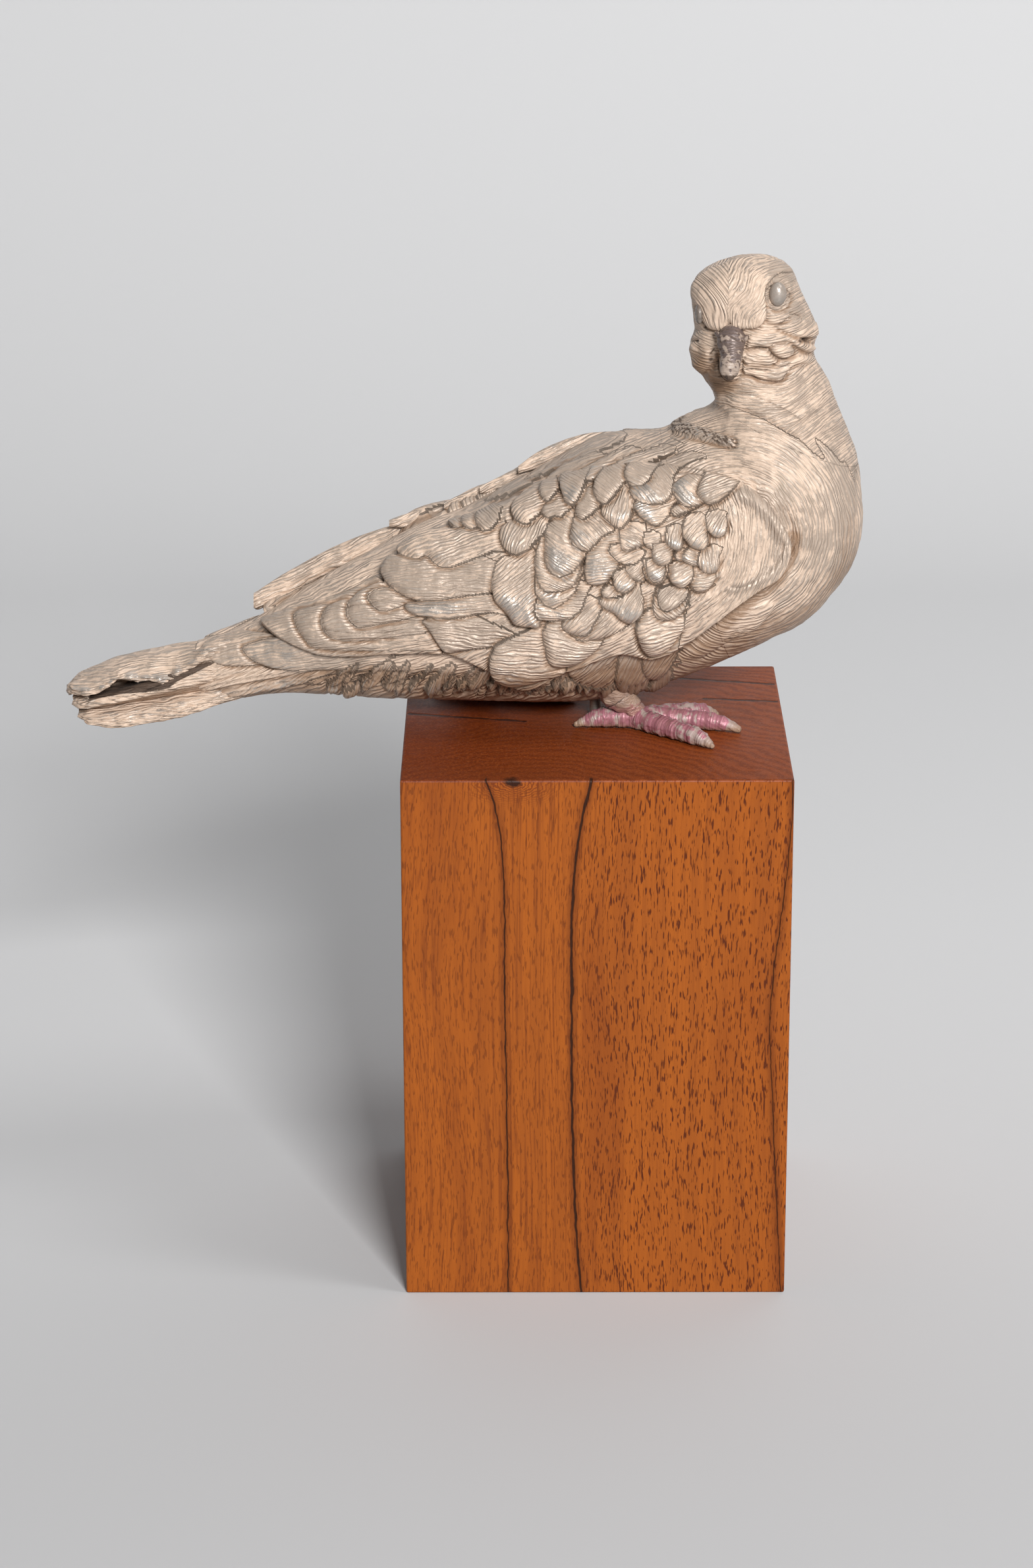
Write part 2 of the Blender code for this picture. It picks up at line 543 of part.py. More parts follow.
def collection(name):
    made = bpy.data.collections.new(name)
    bpy.context.scene.collection.children.link(made)
    return made


def settle(thing, home):
    """Moves a new object from the scene's own collection to its home."""
    for old in list(thing.users_collection):
        old.objects.unlink(thing)
    home.objects.link(thing)


def cylinder(name, radius, low, high, home, sides=48):
    """An upright round bar from height low to height high, on the rod's axis."""
    bpy.ops.mesh.primitive_cylinder_add(
        vertices=sides, radius=radius, depth=high - low, location=(ROD_X, ROD_Y, (low + high) / 2)
    )
    made = bpy.context.object
    made.name = made.data.name = name
    settle(made, home)
    return made


def cut_with(thing, cutter):
    modifier = thing.modifiers.new("bore", "BOOLEAN")
    modifier.operation = "DIFFERENCE"
    modifier.solver = "EXACT"
    modifier.object = cutter


def make_dove(home, cutters):
    """The casting: the skins are fused into one and thinned to plain triangles."""
    points, faces = [], []
    for shell_points, shell_faces in dove_shells():
        base = sum(len(done) for done in points)
        points.append(shell_points)
        faces.extend([base + corner for corner in face] for face in shell_faces)
    mesh = bpy.data.meshes.new("dove")
    mesh.from_pydata((np.vstack(points) * STEP).tolist(), [], faces)
    dove = bpy.data.objects.new("dove", mesh)
    dove.location = (0, DOVE_OFFSET, SOLES)
    home.objects.link(dove)
    fuse = dove.modifiers.new("fuse", "REMESH")
    fuse.mode = "VOXEL"
    fuse.voxel_size = VOXEL
    fused = len(dove.evaluated_get(bpy.context.evaluated_depsgraph_get()).data.polygons)
    thin = dove.modifiers.new("thin", "DECIMATE")
    thin.ratio = TRIANGLES / (2 * fused)
    top = PLINTH_HEIGHT + FIT_GAP + rod_rise() + FIT_GAP
    bore = cylinder("dove_bore", ROD_DIAMETER / 2 + FIT_GAP, PLINTH_HEIGHT, top, cutters)
    cut_with(dove, bore)
    mesh.materials.append(material("dove_paint", (0.62, 0.50, 0.38), 0.45, 0.35))
    mesh.shade_smooth()
    return dove


def belly_height():
    """How high the belly's underside is over the block, at the rod."""
    skin = body_point(*np.meshgrid(np.linspace(6, 14, 200), np.linspace(np.pi * 0.8, np.pi * 1.2, 60), indexing="ij"))
    place = np.array([ROD_X, ROD_Y - DOVE_OFFSET]) / STEP
    nearest = ((skin[..., :2] - place) ** 2).sum(axis=-1).argmin()
    return skin[..., 2].ravel()[nearest] * STEP


def rod_rise():
    """How far the rod stands up over the block."""
    return belly_height() + ROD_IN_DOVE


def make_rod(home):
    rod = cylinder(
        "support_rod", ROD_DIAMETER / 2, PLINTH_HEIGHT - ROD_IN_PLINTH, PLINTH_HEIGHT + FIT_GAP + rod_rise(), home
    )
    rod.data.materials.append(material("rod_metal", (0.60, 0.55, 0.48), 0.30, 1.0))
    rod.data.shade_smooth()
    rod.data.set_sharp_from_angle(angle=np.radians(40))
    return rod


def make_plinth(home, cutters):
    bpy.ops.mesh.primitive_cube_add(size=1, location=(0, 0, PLINTH_HEIGHT / 2))
    plinth = bpy.context.object
    plinth.name = plinth.data.name = "plinth"
    plinth.scale = (PLINTH_WIDTH, PLINTH_DEPTH, PLINTH_HEIGHT)
    bpy.ops.object.transform_apply(location=False, rotation=False, scale=True)
    settle(plinth, home)
    edge = plinth.modifiers.new("edge", "BEVEL")
    edge.width = PLINTH_EDGE
    edge.segments = 2
    socket = cylinder(
        "plinth_bore", ROD_DIAMETER / 2 + FIT_GAP, PLINTH_HEIGHT - ROD_IN_PLINTH - FIT_GAP, PLINTH_HEIGHT + 0.01, cutters
    )
    cut_with(plinth, socket)
    plinth.data.materials.append(material("oiled_hardwood", (0.42, 0.15, 0.05), 0.42, 0.0))
    return plinth


def main():
    for old in list(bpy.data.objects):
        bpy.data.objects.remove(old)
    home = collection("dove_statue")
    cutters = collection("cutters")
    make_plinth(home, cutters)
    make_rod(home)
    make_dove(home, cutters)
    for cutter in cutters.objects:
        cutter.hide_render = True
        cutter.display_type = "WIRE"
    cutters.hide_render = True


main()
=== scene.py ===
# %% [markdown]
# # A cast dove on a hardwood block
#
# A life-size dove, cast in one piece, stands on a tall block of oiled wood. The casting
# is painted cream, and the paint has worn off the high places down to grey metal.
# The imported solids give the sizes. Each piece here takes the place of the casting and adds what solids leave out:
# soft feathers, carved strokes, worn paint and dirt, and painted shade in the creases, grooves and undersides.

import bpy
import numpy as np
from mathutils import Matrix, Vector


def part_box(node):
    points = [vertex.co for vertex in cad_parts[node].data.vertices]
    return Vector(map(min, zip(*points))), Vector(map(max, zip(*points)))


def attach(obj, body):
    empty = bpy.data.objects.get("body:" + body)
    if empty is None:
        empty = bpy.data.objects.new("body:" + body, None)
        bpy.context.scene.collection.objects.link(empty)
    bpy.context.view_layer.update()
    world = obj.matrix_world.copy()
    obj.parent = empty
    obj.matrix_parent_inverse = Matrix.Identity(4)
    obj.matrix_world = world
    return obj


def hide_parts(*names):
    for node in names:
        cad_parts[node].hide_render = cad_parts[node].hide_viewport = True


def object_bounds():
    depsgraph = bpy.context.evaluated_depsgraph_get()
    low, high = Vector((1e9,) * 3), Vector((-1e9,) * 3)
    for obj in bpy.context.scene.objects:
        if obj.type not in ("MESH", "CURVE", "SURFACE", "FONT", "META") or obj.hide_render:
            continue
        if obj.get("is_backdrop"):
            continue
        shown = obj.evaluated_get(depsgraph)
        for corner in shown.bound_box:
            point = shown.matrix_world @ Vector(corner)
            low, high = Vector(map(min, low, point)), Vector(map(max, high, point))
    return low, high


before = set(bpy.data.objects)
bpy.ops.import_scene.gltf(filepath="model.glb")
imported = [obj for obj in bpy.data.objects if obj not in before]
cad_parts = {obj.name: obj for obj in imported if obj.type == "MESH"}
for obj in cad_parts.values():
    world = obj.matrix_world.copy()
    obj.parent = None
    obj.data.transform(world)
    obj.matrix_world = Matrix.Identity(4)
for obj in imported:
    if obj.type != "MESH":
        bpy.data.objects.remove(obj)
SOLID_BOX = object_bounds()
for word, corner in zip(("from", "to"), SOLID_BOX):
    print("the solids reach", word, [round(v, 4) for v in corner])

# %% [markdown]
# ## One scale and one drawing plane
#
# The bird is modelled in millimetres from the middle of its soles: x forward, z up, and
# y from its middle plane, with its near side at negative y. Its carving is drawn on the
# middle plane and laid on the body along straight lines from one point in front of it,
# as a pattern is projected on a clay model. Drawing in one plane is easier to judge by
# eye than setting each feather in space.

# %% Scale and drawing plane
MM = 0.001
DOVE_ASIDE = 12.0
GAP = 0.3
PLINTH_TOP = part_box("plinth")[1].z
SOLES = PLINTH_TOP + GAP * MM
SIGHT = np.array([-26.4, -1682.0, 558.7])
FINE = 1.0


def to_frame(points):
    """From the bird's millimetres to metres in the part's own frame."""
    return points * MM + np.array([0.0, DOVE_ASIDE * MM, SOLES])


def drawn(points):
    """Where points appear on the middle plane: each moves along its line from SIGHT until y is 0."""
    reach = -SIGHT[1] / (points[..., 1] - SIGHT[1])
    return np.stack([
        SIGHT[0] + reach * (points[..., 0] - SIGHT[0]),
        SIGHT[2] + reach * (points[..., 2] - SIGHT[2]),
    ], axis=-1)


def placed(x, z, y):
    """The point at distance y from the middle plane that is drawn at x, z."""
    reach = (y - SIGHT[1]) / -SIGHT[1]
    return np.stack([
        SIGHT[0] + reach * (x - SIGHT[0]),
        y + 0 * x,
        SIGHT[2] + reach * (z - SIGHT[2]),
    ], axis=-1)


print("the soles stand at", round(SOLES, 4), "m")

# %% [markdown]
# ## Small helpers for curves and edges
#
# A smooth curve through a few measured points is enough for an outline, so every table
# below is short. The other helpers are the even rise that blends two surfaces, the
# distance to a drawn outline, and a field of soft swells that keeps a hand-made surface
# from looking machined.

# %% Curves, rises and swells


def spline(rows, at):
    """The rows read at fractional row numbers, along smooth cubic curves through every row."""
    rows = np.asarray(rows, float)
    at = np.clip(np.asarray(at, float), 0, len(rows) - 1.000001)
    first = at.astype(int)
    part = (at - first)[..., None]
    before, start, end, after = (rows[np.clip(first + k, 0, len(rows) - 1)] for k in (-1, 0, 1, 2))
    return start + 0.5 * part * (
        end - before
        + part * (2 * before - 5 * start + 4 * end - after + part * (3 * start - before - 3 * end + after))
    )


def smooth(value):
    """0 below 0, 1 above 1, and an even rise between: 3v squared minus 2v cubed."""
    value = np.clip(value, 0, 1)
    return value * value * (3 - 2 * value)


def rounded(value, square):
    """A sine or cosine bent so that a circle becomes a fuller, squarer oval."""
    return np.sign(value) * np.abs(value) ** (2 / square)


def inside_distance(points, outline):
    """Distance from each point to a closed outline, above 0 inside it."""
    start = np.asarray(outline, float)
    end = np.roll(start, -1, axis=0)
    side = end - start
    to_point = points[:, None, :] - start[None]
    part = np.clip((to_point * side).sum(-1) / np.maximum((side * side).sum(-1), 1e-9), 0, 1)
    gap = np.linalg.norm(to_point - part[..., None] * side, axis=-1).min(axis=1)
    above = start[:, 1] > points[:, 1:2]
    slope = side[:, 0] / np.where(side[:, 1] == 0, 1e-9, side[:, 1])
    crossing = (above != (end[:, 1] > points[:, 1:2])) & (
        points[:, 0:1] < slope * (points[:, 1:2] - start[:, 1]) + start[:, 0]
    )
    return np.where(crossing.sum(axis=1) % 2 == 1, gap, -gap)


def line_distance(points, line):
    """Distance from each point to an open drawn line, and how far along it the nearest place is, 0 to 1."""
    line = np.asarray(line, float)
    start, side = line[:-1], line[1:] - line[:-1]
    to_point = points[:, None, :] - start[None]
    part = np.clip((to_point * side).sum(-1) / (side * side).sum(-1), 0, 1)
    gap = np.linalg.norm(to_point - part[..., None] * side, axis=-1)
    nearest = gap.argmin(axis=1)
    picked = np.arange(len(points))
    return gap[picked, nearest], (nearest + part[picked, nearest]) / len(side)


def swells(points, size, seed, waves=12):
    """Soft uneven swells of about -1 to 1: sine waves that run in random directions, each about size long."""
    random = np.random.default_rng(seed)
    total = np.zeros(points.shape[:-1])
    for _ in range(waves):
        ahead = random.normal(size=points.shape[-1])
        ahead *= 2 * np.pi / (np.linalg.norm(ahead) * size * random.uniform(0.7, 1.6))
        total += np.sin(points @ ahead + random.uniform(0, 2 * np.pi))
    return total / np.sqrt(2 * waves)


print("half way up an even rise is", float(smooth(0.5)))

# %% [markdown]
# ## The body's form
#
# The body, neck and head are one smooth volume. Each row below is one cut through it,
# from the root of the tail to the crown: the drawn upper end, the drawn lower end and
# half the width. Skinning ovals along such cuts keeps every section easy to change,
# where a sculpted mesh would hide its measures. A round cut seen from above shows a
# little past its own ends, so the ends are drawn in until the outline is met.

# %% The body's cuts
BODY = np.array([
    (-168, 32, -168, 10, 14),
    (-152, 38, -152, 6, 18),
    (-140, 44, -138, 8, 21),
    (-126, 53, -122, 8.6, 25),
    (-110, 63, -104, 7, 30),
    (-92, 73, -84, 6, 34),
    (-74, 83, -64, 5.5, 38),
    (-55, 90.5, -44, 5, 41.5),
    (-37, 100, -24, 4.5, 44),
    (-18, 110.5, -3, 5, 46),
    (0, 120, 18, 8, 47),
    (14, 123.2, 38, 15.5, 47),
    (26.5, 123.8, 58, 24, 46.5),
    (34, 127.3, 76, 32.8, 45.5),
    (40.5, 130.4, 90.5, 41, 44.5),
    (45, 132.5, 101, 52.6, 43),
    (47.5, 133.8, 110, 67.5, 42),
    (48.6, 134.8, 113, 83, 40),
    (49.2, 136, 112, 97, 36.5),
    (49, 137.5, 109.8, 111, 32),
    (48.6, 139.5, 105, 124, 27.5),
    (47.3, 142, 100.4, 134, 24),
    (45, 145.7, 97, 143, 21.5),
    (42, 150, 93.4, 149.5, 20.5),
    (39.6, 155, 90.6, 154.5, 21),
    (39.4, 160, 90.4, 159.5, 22),
    (41, 166, 91.5, 165.3, 23),
    (40.2, 172, 89.3, 172, 23.5),
    (39.6, 179, 85.8, 179, 24),
    (39.9, 184.5, 83.4, 184.5, 23.5),
    (42.8, 188.6, 81.6, 189.0, 21.5),
    (48.5, 192.0, 78.4, 192.6, 17.5),
    (56, 194.6, 73.5, 195.0, 11.5),
    (62.5, 196.0, 67.5, 196.2, 4),
])
SQUARE = 2.15
NECK_CUT = 18.9
WING_REACH = 24.0


def cut_point(cut, turn):
    """A point on an oval cut: turn 0 is its upper end, a quarter turn is the near side."""
    up = rounded(np.cos(turn), SQUARE)
    out = rounded(np.sin(turn), SQUARE)
    return np.stack([
        (cut[..., 0] + cut[..., 2]) / 2 + (cut[..., 0] - cut[..., 2]) / 2 * up,
        -cut[..., 4] * out,
        (cut[..., 1] + cut[..., 3]) / 2 + (cut[..., 1] - cut[..., 3]) / 2 * up,
    ], axis=-1)


def true_cuts(rows):
    """Cuts whose furthest drawn points, seen from SIGHT, meet the drawn ends."""
    cuts = rows.astype(float).copy()
    turn = np.linspace(0, 2 * np.pi, 73)[None, :]
    for _ in range(6):
        seen = drawn(cut_point(cuts[:, None, :], turn))
        for end, other in ((0, 2), (2, 0)):
            goal = rows[:, end:end + 2]
            along = goal - rows[:, other:other + 2]
            along = along / np.linalg.norm(along, axis=1, keepdims=True)
            furthest = np.einsum("rtk,rk->rt", seen, along).max(axis=1)
            cuts[:, end:end + 2] += ((along * goal).sum(axis=1) - furthest)[:, None] * along
    return cuts


CUTS = true_cuts(BODY)


def body_point(at, turn):
    """The body's bare skin at a fractional cut number and a turn round it."""
    return cut_point(spline(CUTS, at), turn)


def body_normal(at, turn):
    """The outward direction of the skin: the cross product of its two tangents."""
    nudge = 1e-3
    along = body_point(at + nudge, turn) - body_point(at - nudge, turn)
    around = body_point(at, turn + nudge) - body_point(at, turn - nudge)
    normal = np.cross(around, along)
    return normal / np.maximum(np.linalg.norm(normal, axis=-1, keepdims=True), 1e-9)


print("the body has", len(CUTS), "cuts")

# %% [markdown]
# ## Carving: tongues that overlap
#
# On the real bird every feather is a soft tongue of clay pressed over the one below.
# It swells from its root to its tip, rolls down at its rim, and leaves a groove below it. The carving works shape
# by shape, lowest first, on the distance to each drawn outline. It gives the height, and with it what the paint
# needs: bare metal on the swelling tips, dark and brown painted shade in the groove under them, and the direction
# of the strokes on each feather. Single scored lines and soft lumps are added to it.

# %% Carving with overlapping shapes
METAL, DARK, GREY, BROWN = range(4)
RELIEF = 1.15


def feather(root, lift, edge, roll=3.0, rub=1.0, angle=None):
    """A tongue: its root, how far its tip stands up, and its drawn edge round the tip.

    roll is the width of its rolled rim, rub is how worn it is, and angle is its strokes' slant."""
    edge = spline(edge, np.linspace(0, len(edge) - 1, 3 * len(edge)))
    root = np.array(root, float)
    back = 0.65 * (root - (edge[0] + edge[-1]) / 2)
    return root, lift, roll, rub, angle, np.vstack([edge, [edge[-1] + back, root, edge[0] + back]])


def fold(lift, edge, roll=1.2, rub=0.2):
    """A patch that stands up evenly, or sinks where lift is below 0, with a rolled rim."""
    edge = np.vstack([edge, edge[:1]])
    edge = spline(edge, np.linspace(0, len(edge) - 1, 3 * len(edge)))[:-1]
    return None, lift, roll, rub, 0.0, edge


def carve(seen, shapes, turn=0, seed=5):
    """Height, wear with painted shade, and stroke direction of the carving at each drawn point.

    Each shape covers those before it. Inside its outline the height is lift x rise x
    dome plus a bulge near the tip: rise grows from root to tip, and dome is a quarter
    circle of the distance to the rim. Outside it a groove sinks by a share of the lift.
    turn moves the random draws on by so many shapes."""
    chances = np.roll(np.random.default_rng(seed).uniform(0, 1, (len(shapes), 4)), turn, axis=0)
    uneven = swells(seen, 6.0, seed)
    height = np.zeros(len(seen))
    wear_and_shade = np.zeros((len(seen), 4))
    grain = np.zeros((len(seen), 4))
    for number, (root, lift, roll, rub, angle, edge) in enumerate(shapes):
        chance = chances[number]
        box = np.all((seen > edge.min(axis=0) - 5) & (seen < edge.max(axis=0) + 5), axis=1)
        points = seen[box]
        if not len(points):
            continue
        depth = inside_distance(points, edge)
        dome = np.sqrt(1 - (1 - np.clip((depth + 0.2) / roll, 0, 1)) ** 2)
        cover = smooth(depth / 1.0 + 0.5)
        if root is None:
            along = np.ones(len(points))
            middle = edge.mean(axis=0)
            under = smooth(0.6 - (points[:, 1] - middle[1]) / np.ptp(edge[:, 1]))
        else:
            tip = edge[np.linalg.norm(edge - root, axis=1).argmax()]
            reach = np.linalg.norm(tip - root)
            along = (points - root) @ (tip - root) / reach ** 2
            under = smooth((along - 0.2) / 0.35)
            dome = 1 - (1 - dome) * under
            slant = np.radians(-45 + 100 * chance[0] if angle is None else angle)
            across = points @ np.array([-np.sin(slant), np.cos(slant)])
            run = points @ np.array([np.cos(slant), np.sin(slant)])
            apart = np.full(len(points), 7.3 * number)
            new_grain = np.stack([across, run, apart, np.ones(len(points))], axis=1)
            grain[box] = np.where(cover[:, None] > 0.5, new_grain, grain[box])
        rise = 0.30 + 0.70 * smooth(0.9 * along)
        bulge = 0.25 * np.exp(-((along - 0.72) / 0.2) ** 2) if root is not None else 0.0
        groove = np.exp(-((depth + 0.9) / 0.9) ** 2) * under
        inner = RELIEF * lift * (rise * (0.12 + 0.88 * dome) + bulge * dome)
        height[box] = (height[box] - 0.4 * abs(lift) * groove) * (1 - cover) + inner * cover
        # Painted shade: a dark line just under each rim, on its tip side.
        line = np.exp(-((depth + 0.35) / 0.48) ** 2) * under
        line = line * (0.13 + 0.42 * uneven[box]) * min(1.0, abs(lift) / 1.6)
        # Painted shade: brown in the groove outside the rim.
        halo = np.exp(-((depth + 0.7) / 1.2) ** 2) * under * 0.9
        greyed = (0.5 + 0.5 * chance[2]) * (0.35 + 0.65 * dome) * smooth(0.2 + along / 0.5)
        # The columns below are bare metal, painted shade just inside the rim, worn grey, and brown stain near the
        # root.
        new = np.stack([
            rub * (0.35 + 0.65 * chance[1]) * smooth((along - 0.3) / 0.5) * dome,
            0.25 * (1 - smooth(depth / 0.5)) * under,
            0.0 * depth if root is None else greyed,
            0.25 * smooth(1 - along / 0.5),
        ], axis=1)
        wear_and_shade[box] = wear_and_shade[box] * (1 - cover[:, None]) + new * cover[:, None]
        wear_and_shade[box, DARK] = np.maximum(wear_and_shade[box, DARK], line)
        wear_and_shade[box, BROWN] = np.maximum(wear_and_shade[box, BROWN], halo * (1 - cover))
    return height, wear_and_shade, grain


def score(seen, lines):
    """Scored lines: how deep the skin is by them, and how dark it is painted there as shade.

    Each is a bell curve across, and fades at its ends."""
    height, dark = np.zeros(len(seen)), np.zeros(len(seen))
    for depth, width, line in lines:
        line = spline(line, np.linspace(0, len(line) - 1, 5 * len(line)))
        margin = 4 * width
        box = np.all((seen > line.min(axis=0) - margin) & (seen < line.max(axis=0) + margin), axis=1)
        if not box.any():
            continue
        gap, part = line_distance(seen[box], line)
        fade = smooth(0.15 + part / 0.2) * smooth(0.15 + (1 - part) / 0.2)
        height[box] -= depth * np.exp(-(gap / width) ** 2) * fade
        # Painted shade: the line is painted dark as well as sunk.
        darkest = min(1.0, depth / 0.9, 0.45 / width)
        dark[box] = np.maximum(dark[box], darkest * np.exp(-(gap / (0.55 * width)) ** 2) * fade)
    return height, dark


def lumps(seen, rows):
    """Soft lumps: each row is a middle, two half sizes and a height, spread as a bell curve."""
    total = np.zeros(seen.shape[:-1])
    for x, z, half_width, half_height, height in rows:
        away = ((seen[..., 0] - x) / half_width) ** 2 + ((seen[..., 1] - z) / half_height) ** 2
        total += height * np.exp(-away)
    return total


print("each feather leaves", ["metal", "dark", "grey", "brown"], "wear on the skin")

# %% [markdown]
# ## From arrays to a closed mesh
#
# Every piece of the bird is a skin: rings of points, closed round, with a point in the middle of each end. Two
# colour-like attributes ride on its points: the wear together with the painted shade, and the stroke direction with
# a number per feather. The paint reads only these and the piece's own coordinates, so it stays in place from any
# side and in any exported model.

# %% Skin to mesh


def ring_faces(rows, columns):
    """Quads between neighbouring rings, and a fan of triangles to the middle point of each end."""
    row, column = np.meshgrid(np.arange(rows - 1), np.arange(columns), indexing="ij")
    after = (column + 1) % columns
    quads = np.stack([
        row * columns + column,
        row * columns + after,
        (row + 1) * columns + after,
        (row + 1) * columns + column,
    ], axis=-1).reshape(-1, 4)
    column = np.arange(columns)
    after = (column + 1) % columns
    base = (rows - 1) * columns
    first = np.stack([after, column, np.full(columns, rows * columns)], axis=-1)
    last = np.stack([base + column, base + after, np.full(columns, rows * columns + 1)], axis=-1)
    return quads, np.vstack([first, last])


def volume(points, triangles):
    """Six times the volume inside a closed skin, above 0 if it faces out: the sum of triple products."""
    a, b, c = (points[triangles[:, k]] for k in range(3))
    return np.einsum("ij,ij->", a, np.cross(b, c))


def skin_piece(name, rings, paint, wear_and_shade=None, grain=None):
    """A closed piece of the casting from rings of points in the bird's millimetres."""
    rows, columns = rings.shape[:2]

    def with_ends(values):
        flat = values.reshape(rows * columns, -1)
        return np.vstack([flat, flat[:columns].mean(axis=0), flat[-columns:].mean(axis=0)])

    points = to_frame(with_ends(rings))
    wear_and_shade = np.zeros((rows, columns, 4)) if wear_and_shade is None else wear_and_shade
    grain = np.zeros((rows, columns, 3)) if grain is None else grain
    quads, fans = ring_faces(rows, columns)
    triangles = np.vstack([quads[:, :3], quads[:, [0, 2, 3]], fans])
    if volume(points - points.mean(axis=0), triangles) < 0:
        quads, fans = quads[:, ::-1], fans[:, ::-1]
    mesh = bpy.data.meshes.new(name)
    mesh.from_pydata(points.tolist(), [], quads.tolist() + fans.tolist())
    # The attribute below carries the wear and the painted shade.
    worn = mesh.attributes.new("wear_and_shade", "FLOAT_COLOR", "POINT")
    worn.data.foreach_set("color", np.clip(with_ends(wear_and_shade), 0, 1).astype(np.float32).ravel())
    strokes = mesh.attributes.new("strokes", "FLOAT_VECTOR", "POINT")
    strokes.data.foreach_set("vector", with_ends(grain[..., :3]).astype(np.float32).ravel())
    mesh.shade_smooth()
    mesh.materials.append(paint)
    piece = bpy.data.objects.new(name, mesh)
    bpy.context.scene.collection.objects.link(piece)
    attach(piece, "root")
    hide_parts("dove")
    print(name, "has", len(triangles), "triangles")
    return piece


# %% [markdown]
# ## Node helpers
#
# A material is a small graph of nodes. These helpers add one node each, so that a
# finish below reads as a list of sentences: a streak here, a blend there.

# %% Node helpers


def node(tree, kind, inputs=None, output=0, **settings):
    """Adds a node, sets its sockets to numbers or links, and returns one of its outputs."""
    made = tree.nodes.new("ShaderNode" + kind)
    for key, value in settings.items():
        setattr(made, key, value)
    for socket, value in (inputs or {}).items():
        if isinstance(value, bpy.types.NodeSocket):
            tree.links.new(value, made.inputs[socket])
        else:
            made.inputs[socket].default_value = value
    return made.outputs[output]


def calc(tree, operation, first, second=0.0):
    """One sum on two numbers or links."""
    return node(tree, "Math", {0: first, 1: second}, operation=operation)


def scaled(tree, value, factor, offset):
    """A link multiplied by a factor, with an offset added."""
    return node(tree, "Math", {0: value, 1: factor, 2: offset}, operation="MULTIPLY_ADD")


def blend(tree, amount, low, high):
    """The colour low where amount is 0, and high where it is 1."""
    low = low if isinstance(low, bpy.types.NodeSocket) else (*low, 1)
    high = high if isinstance(high, bpy.types.NodeSocket) else (*high, 1)
    return node(tree, "Mix", {0: amount, 6: low, 7: high}, output=2, data_type="RGBA", clamp_factor=True)


def rise(tree, value, low, high):
    """0 where value is below low, 1 above high, and an even rise between."""
    return node(
        tree, "MapRange", {"Value": value, "From Min": low, "From Max": high}, interpolation_type="SMOOTHSTEP"
    )


def spots(tree, vector, scale, detail=3.0, rough=0.55):
    """Cloudy noise, about 0.3 to 0.7, on a given vector."""
    return node(tree, "TexNoise", {"Vector": vector, "Scale": scale, "Detail": detail, "Roughness": rough})


def stretched(tree, vector, factors):
    """The vector with each axis multiplied, which draws a pattern out along the axes with small factors."""
    return node(tree, "VectorMath", {0: vector, 1: factors}, operation="MULTIPLY")


def finish(name):
    """A new material with its tree and its main shader."""
    made = bpy.data.materials.new(name)
    made.use_nodes = True
    return made, made.node_tree, made.node_tree.nodes["Principled BSDF"]


print("node helpers ready")

# %% [markdown]
# ## Worn paint over grey metal
#
# The casting has a pale cream paint with a satin gloss. Engraved strokes about a millimetre apart run over all of
# it. On the high places the paint is rubbed through, and grey metal shows on the ridges between strokes, while
# cream stays in the cuts, painted a little browner there as shade. Brown stain lies near the feathers' roots. Brown
# and nearly black colour in the grooves, under rims and on undersides is painted shade, and the nearly black colour
# also carries specks of dirt. The masks come from the carving, and noise breaks their edges, because real wear
# never follows a clean line.

# %% Cast paint
CREAM = (0.66, 0.508, 0.395)
WORN = (0.415, 0.335, 0.272)
# The brown below is both real stain and painted shade. The near black after it is painted shade with specks of
# dirt.
STAIN_AND_SHADE = (0.30, 0.190, 0.122)
DIRT_AND_SHADE = (0.060, 0.035, 0.022)
BARE = (0.50, 0.45, 0.405)
STROKE = 1.4


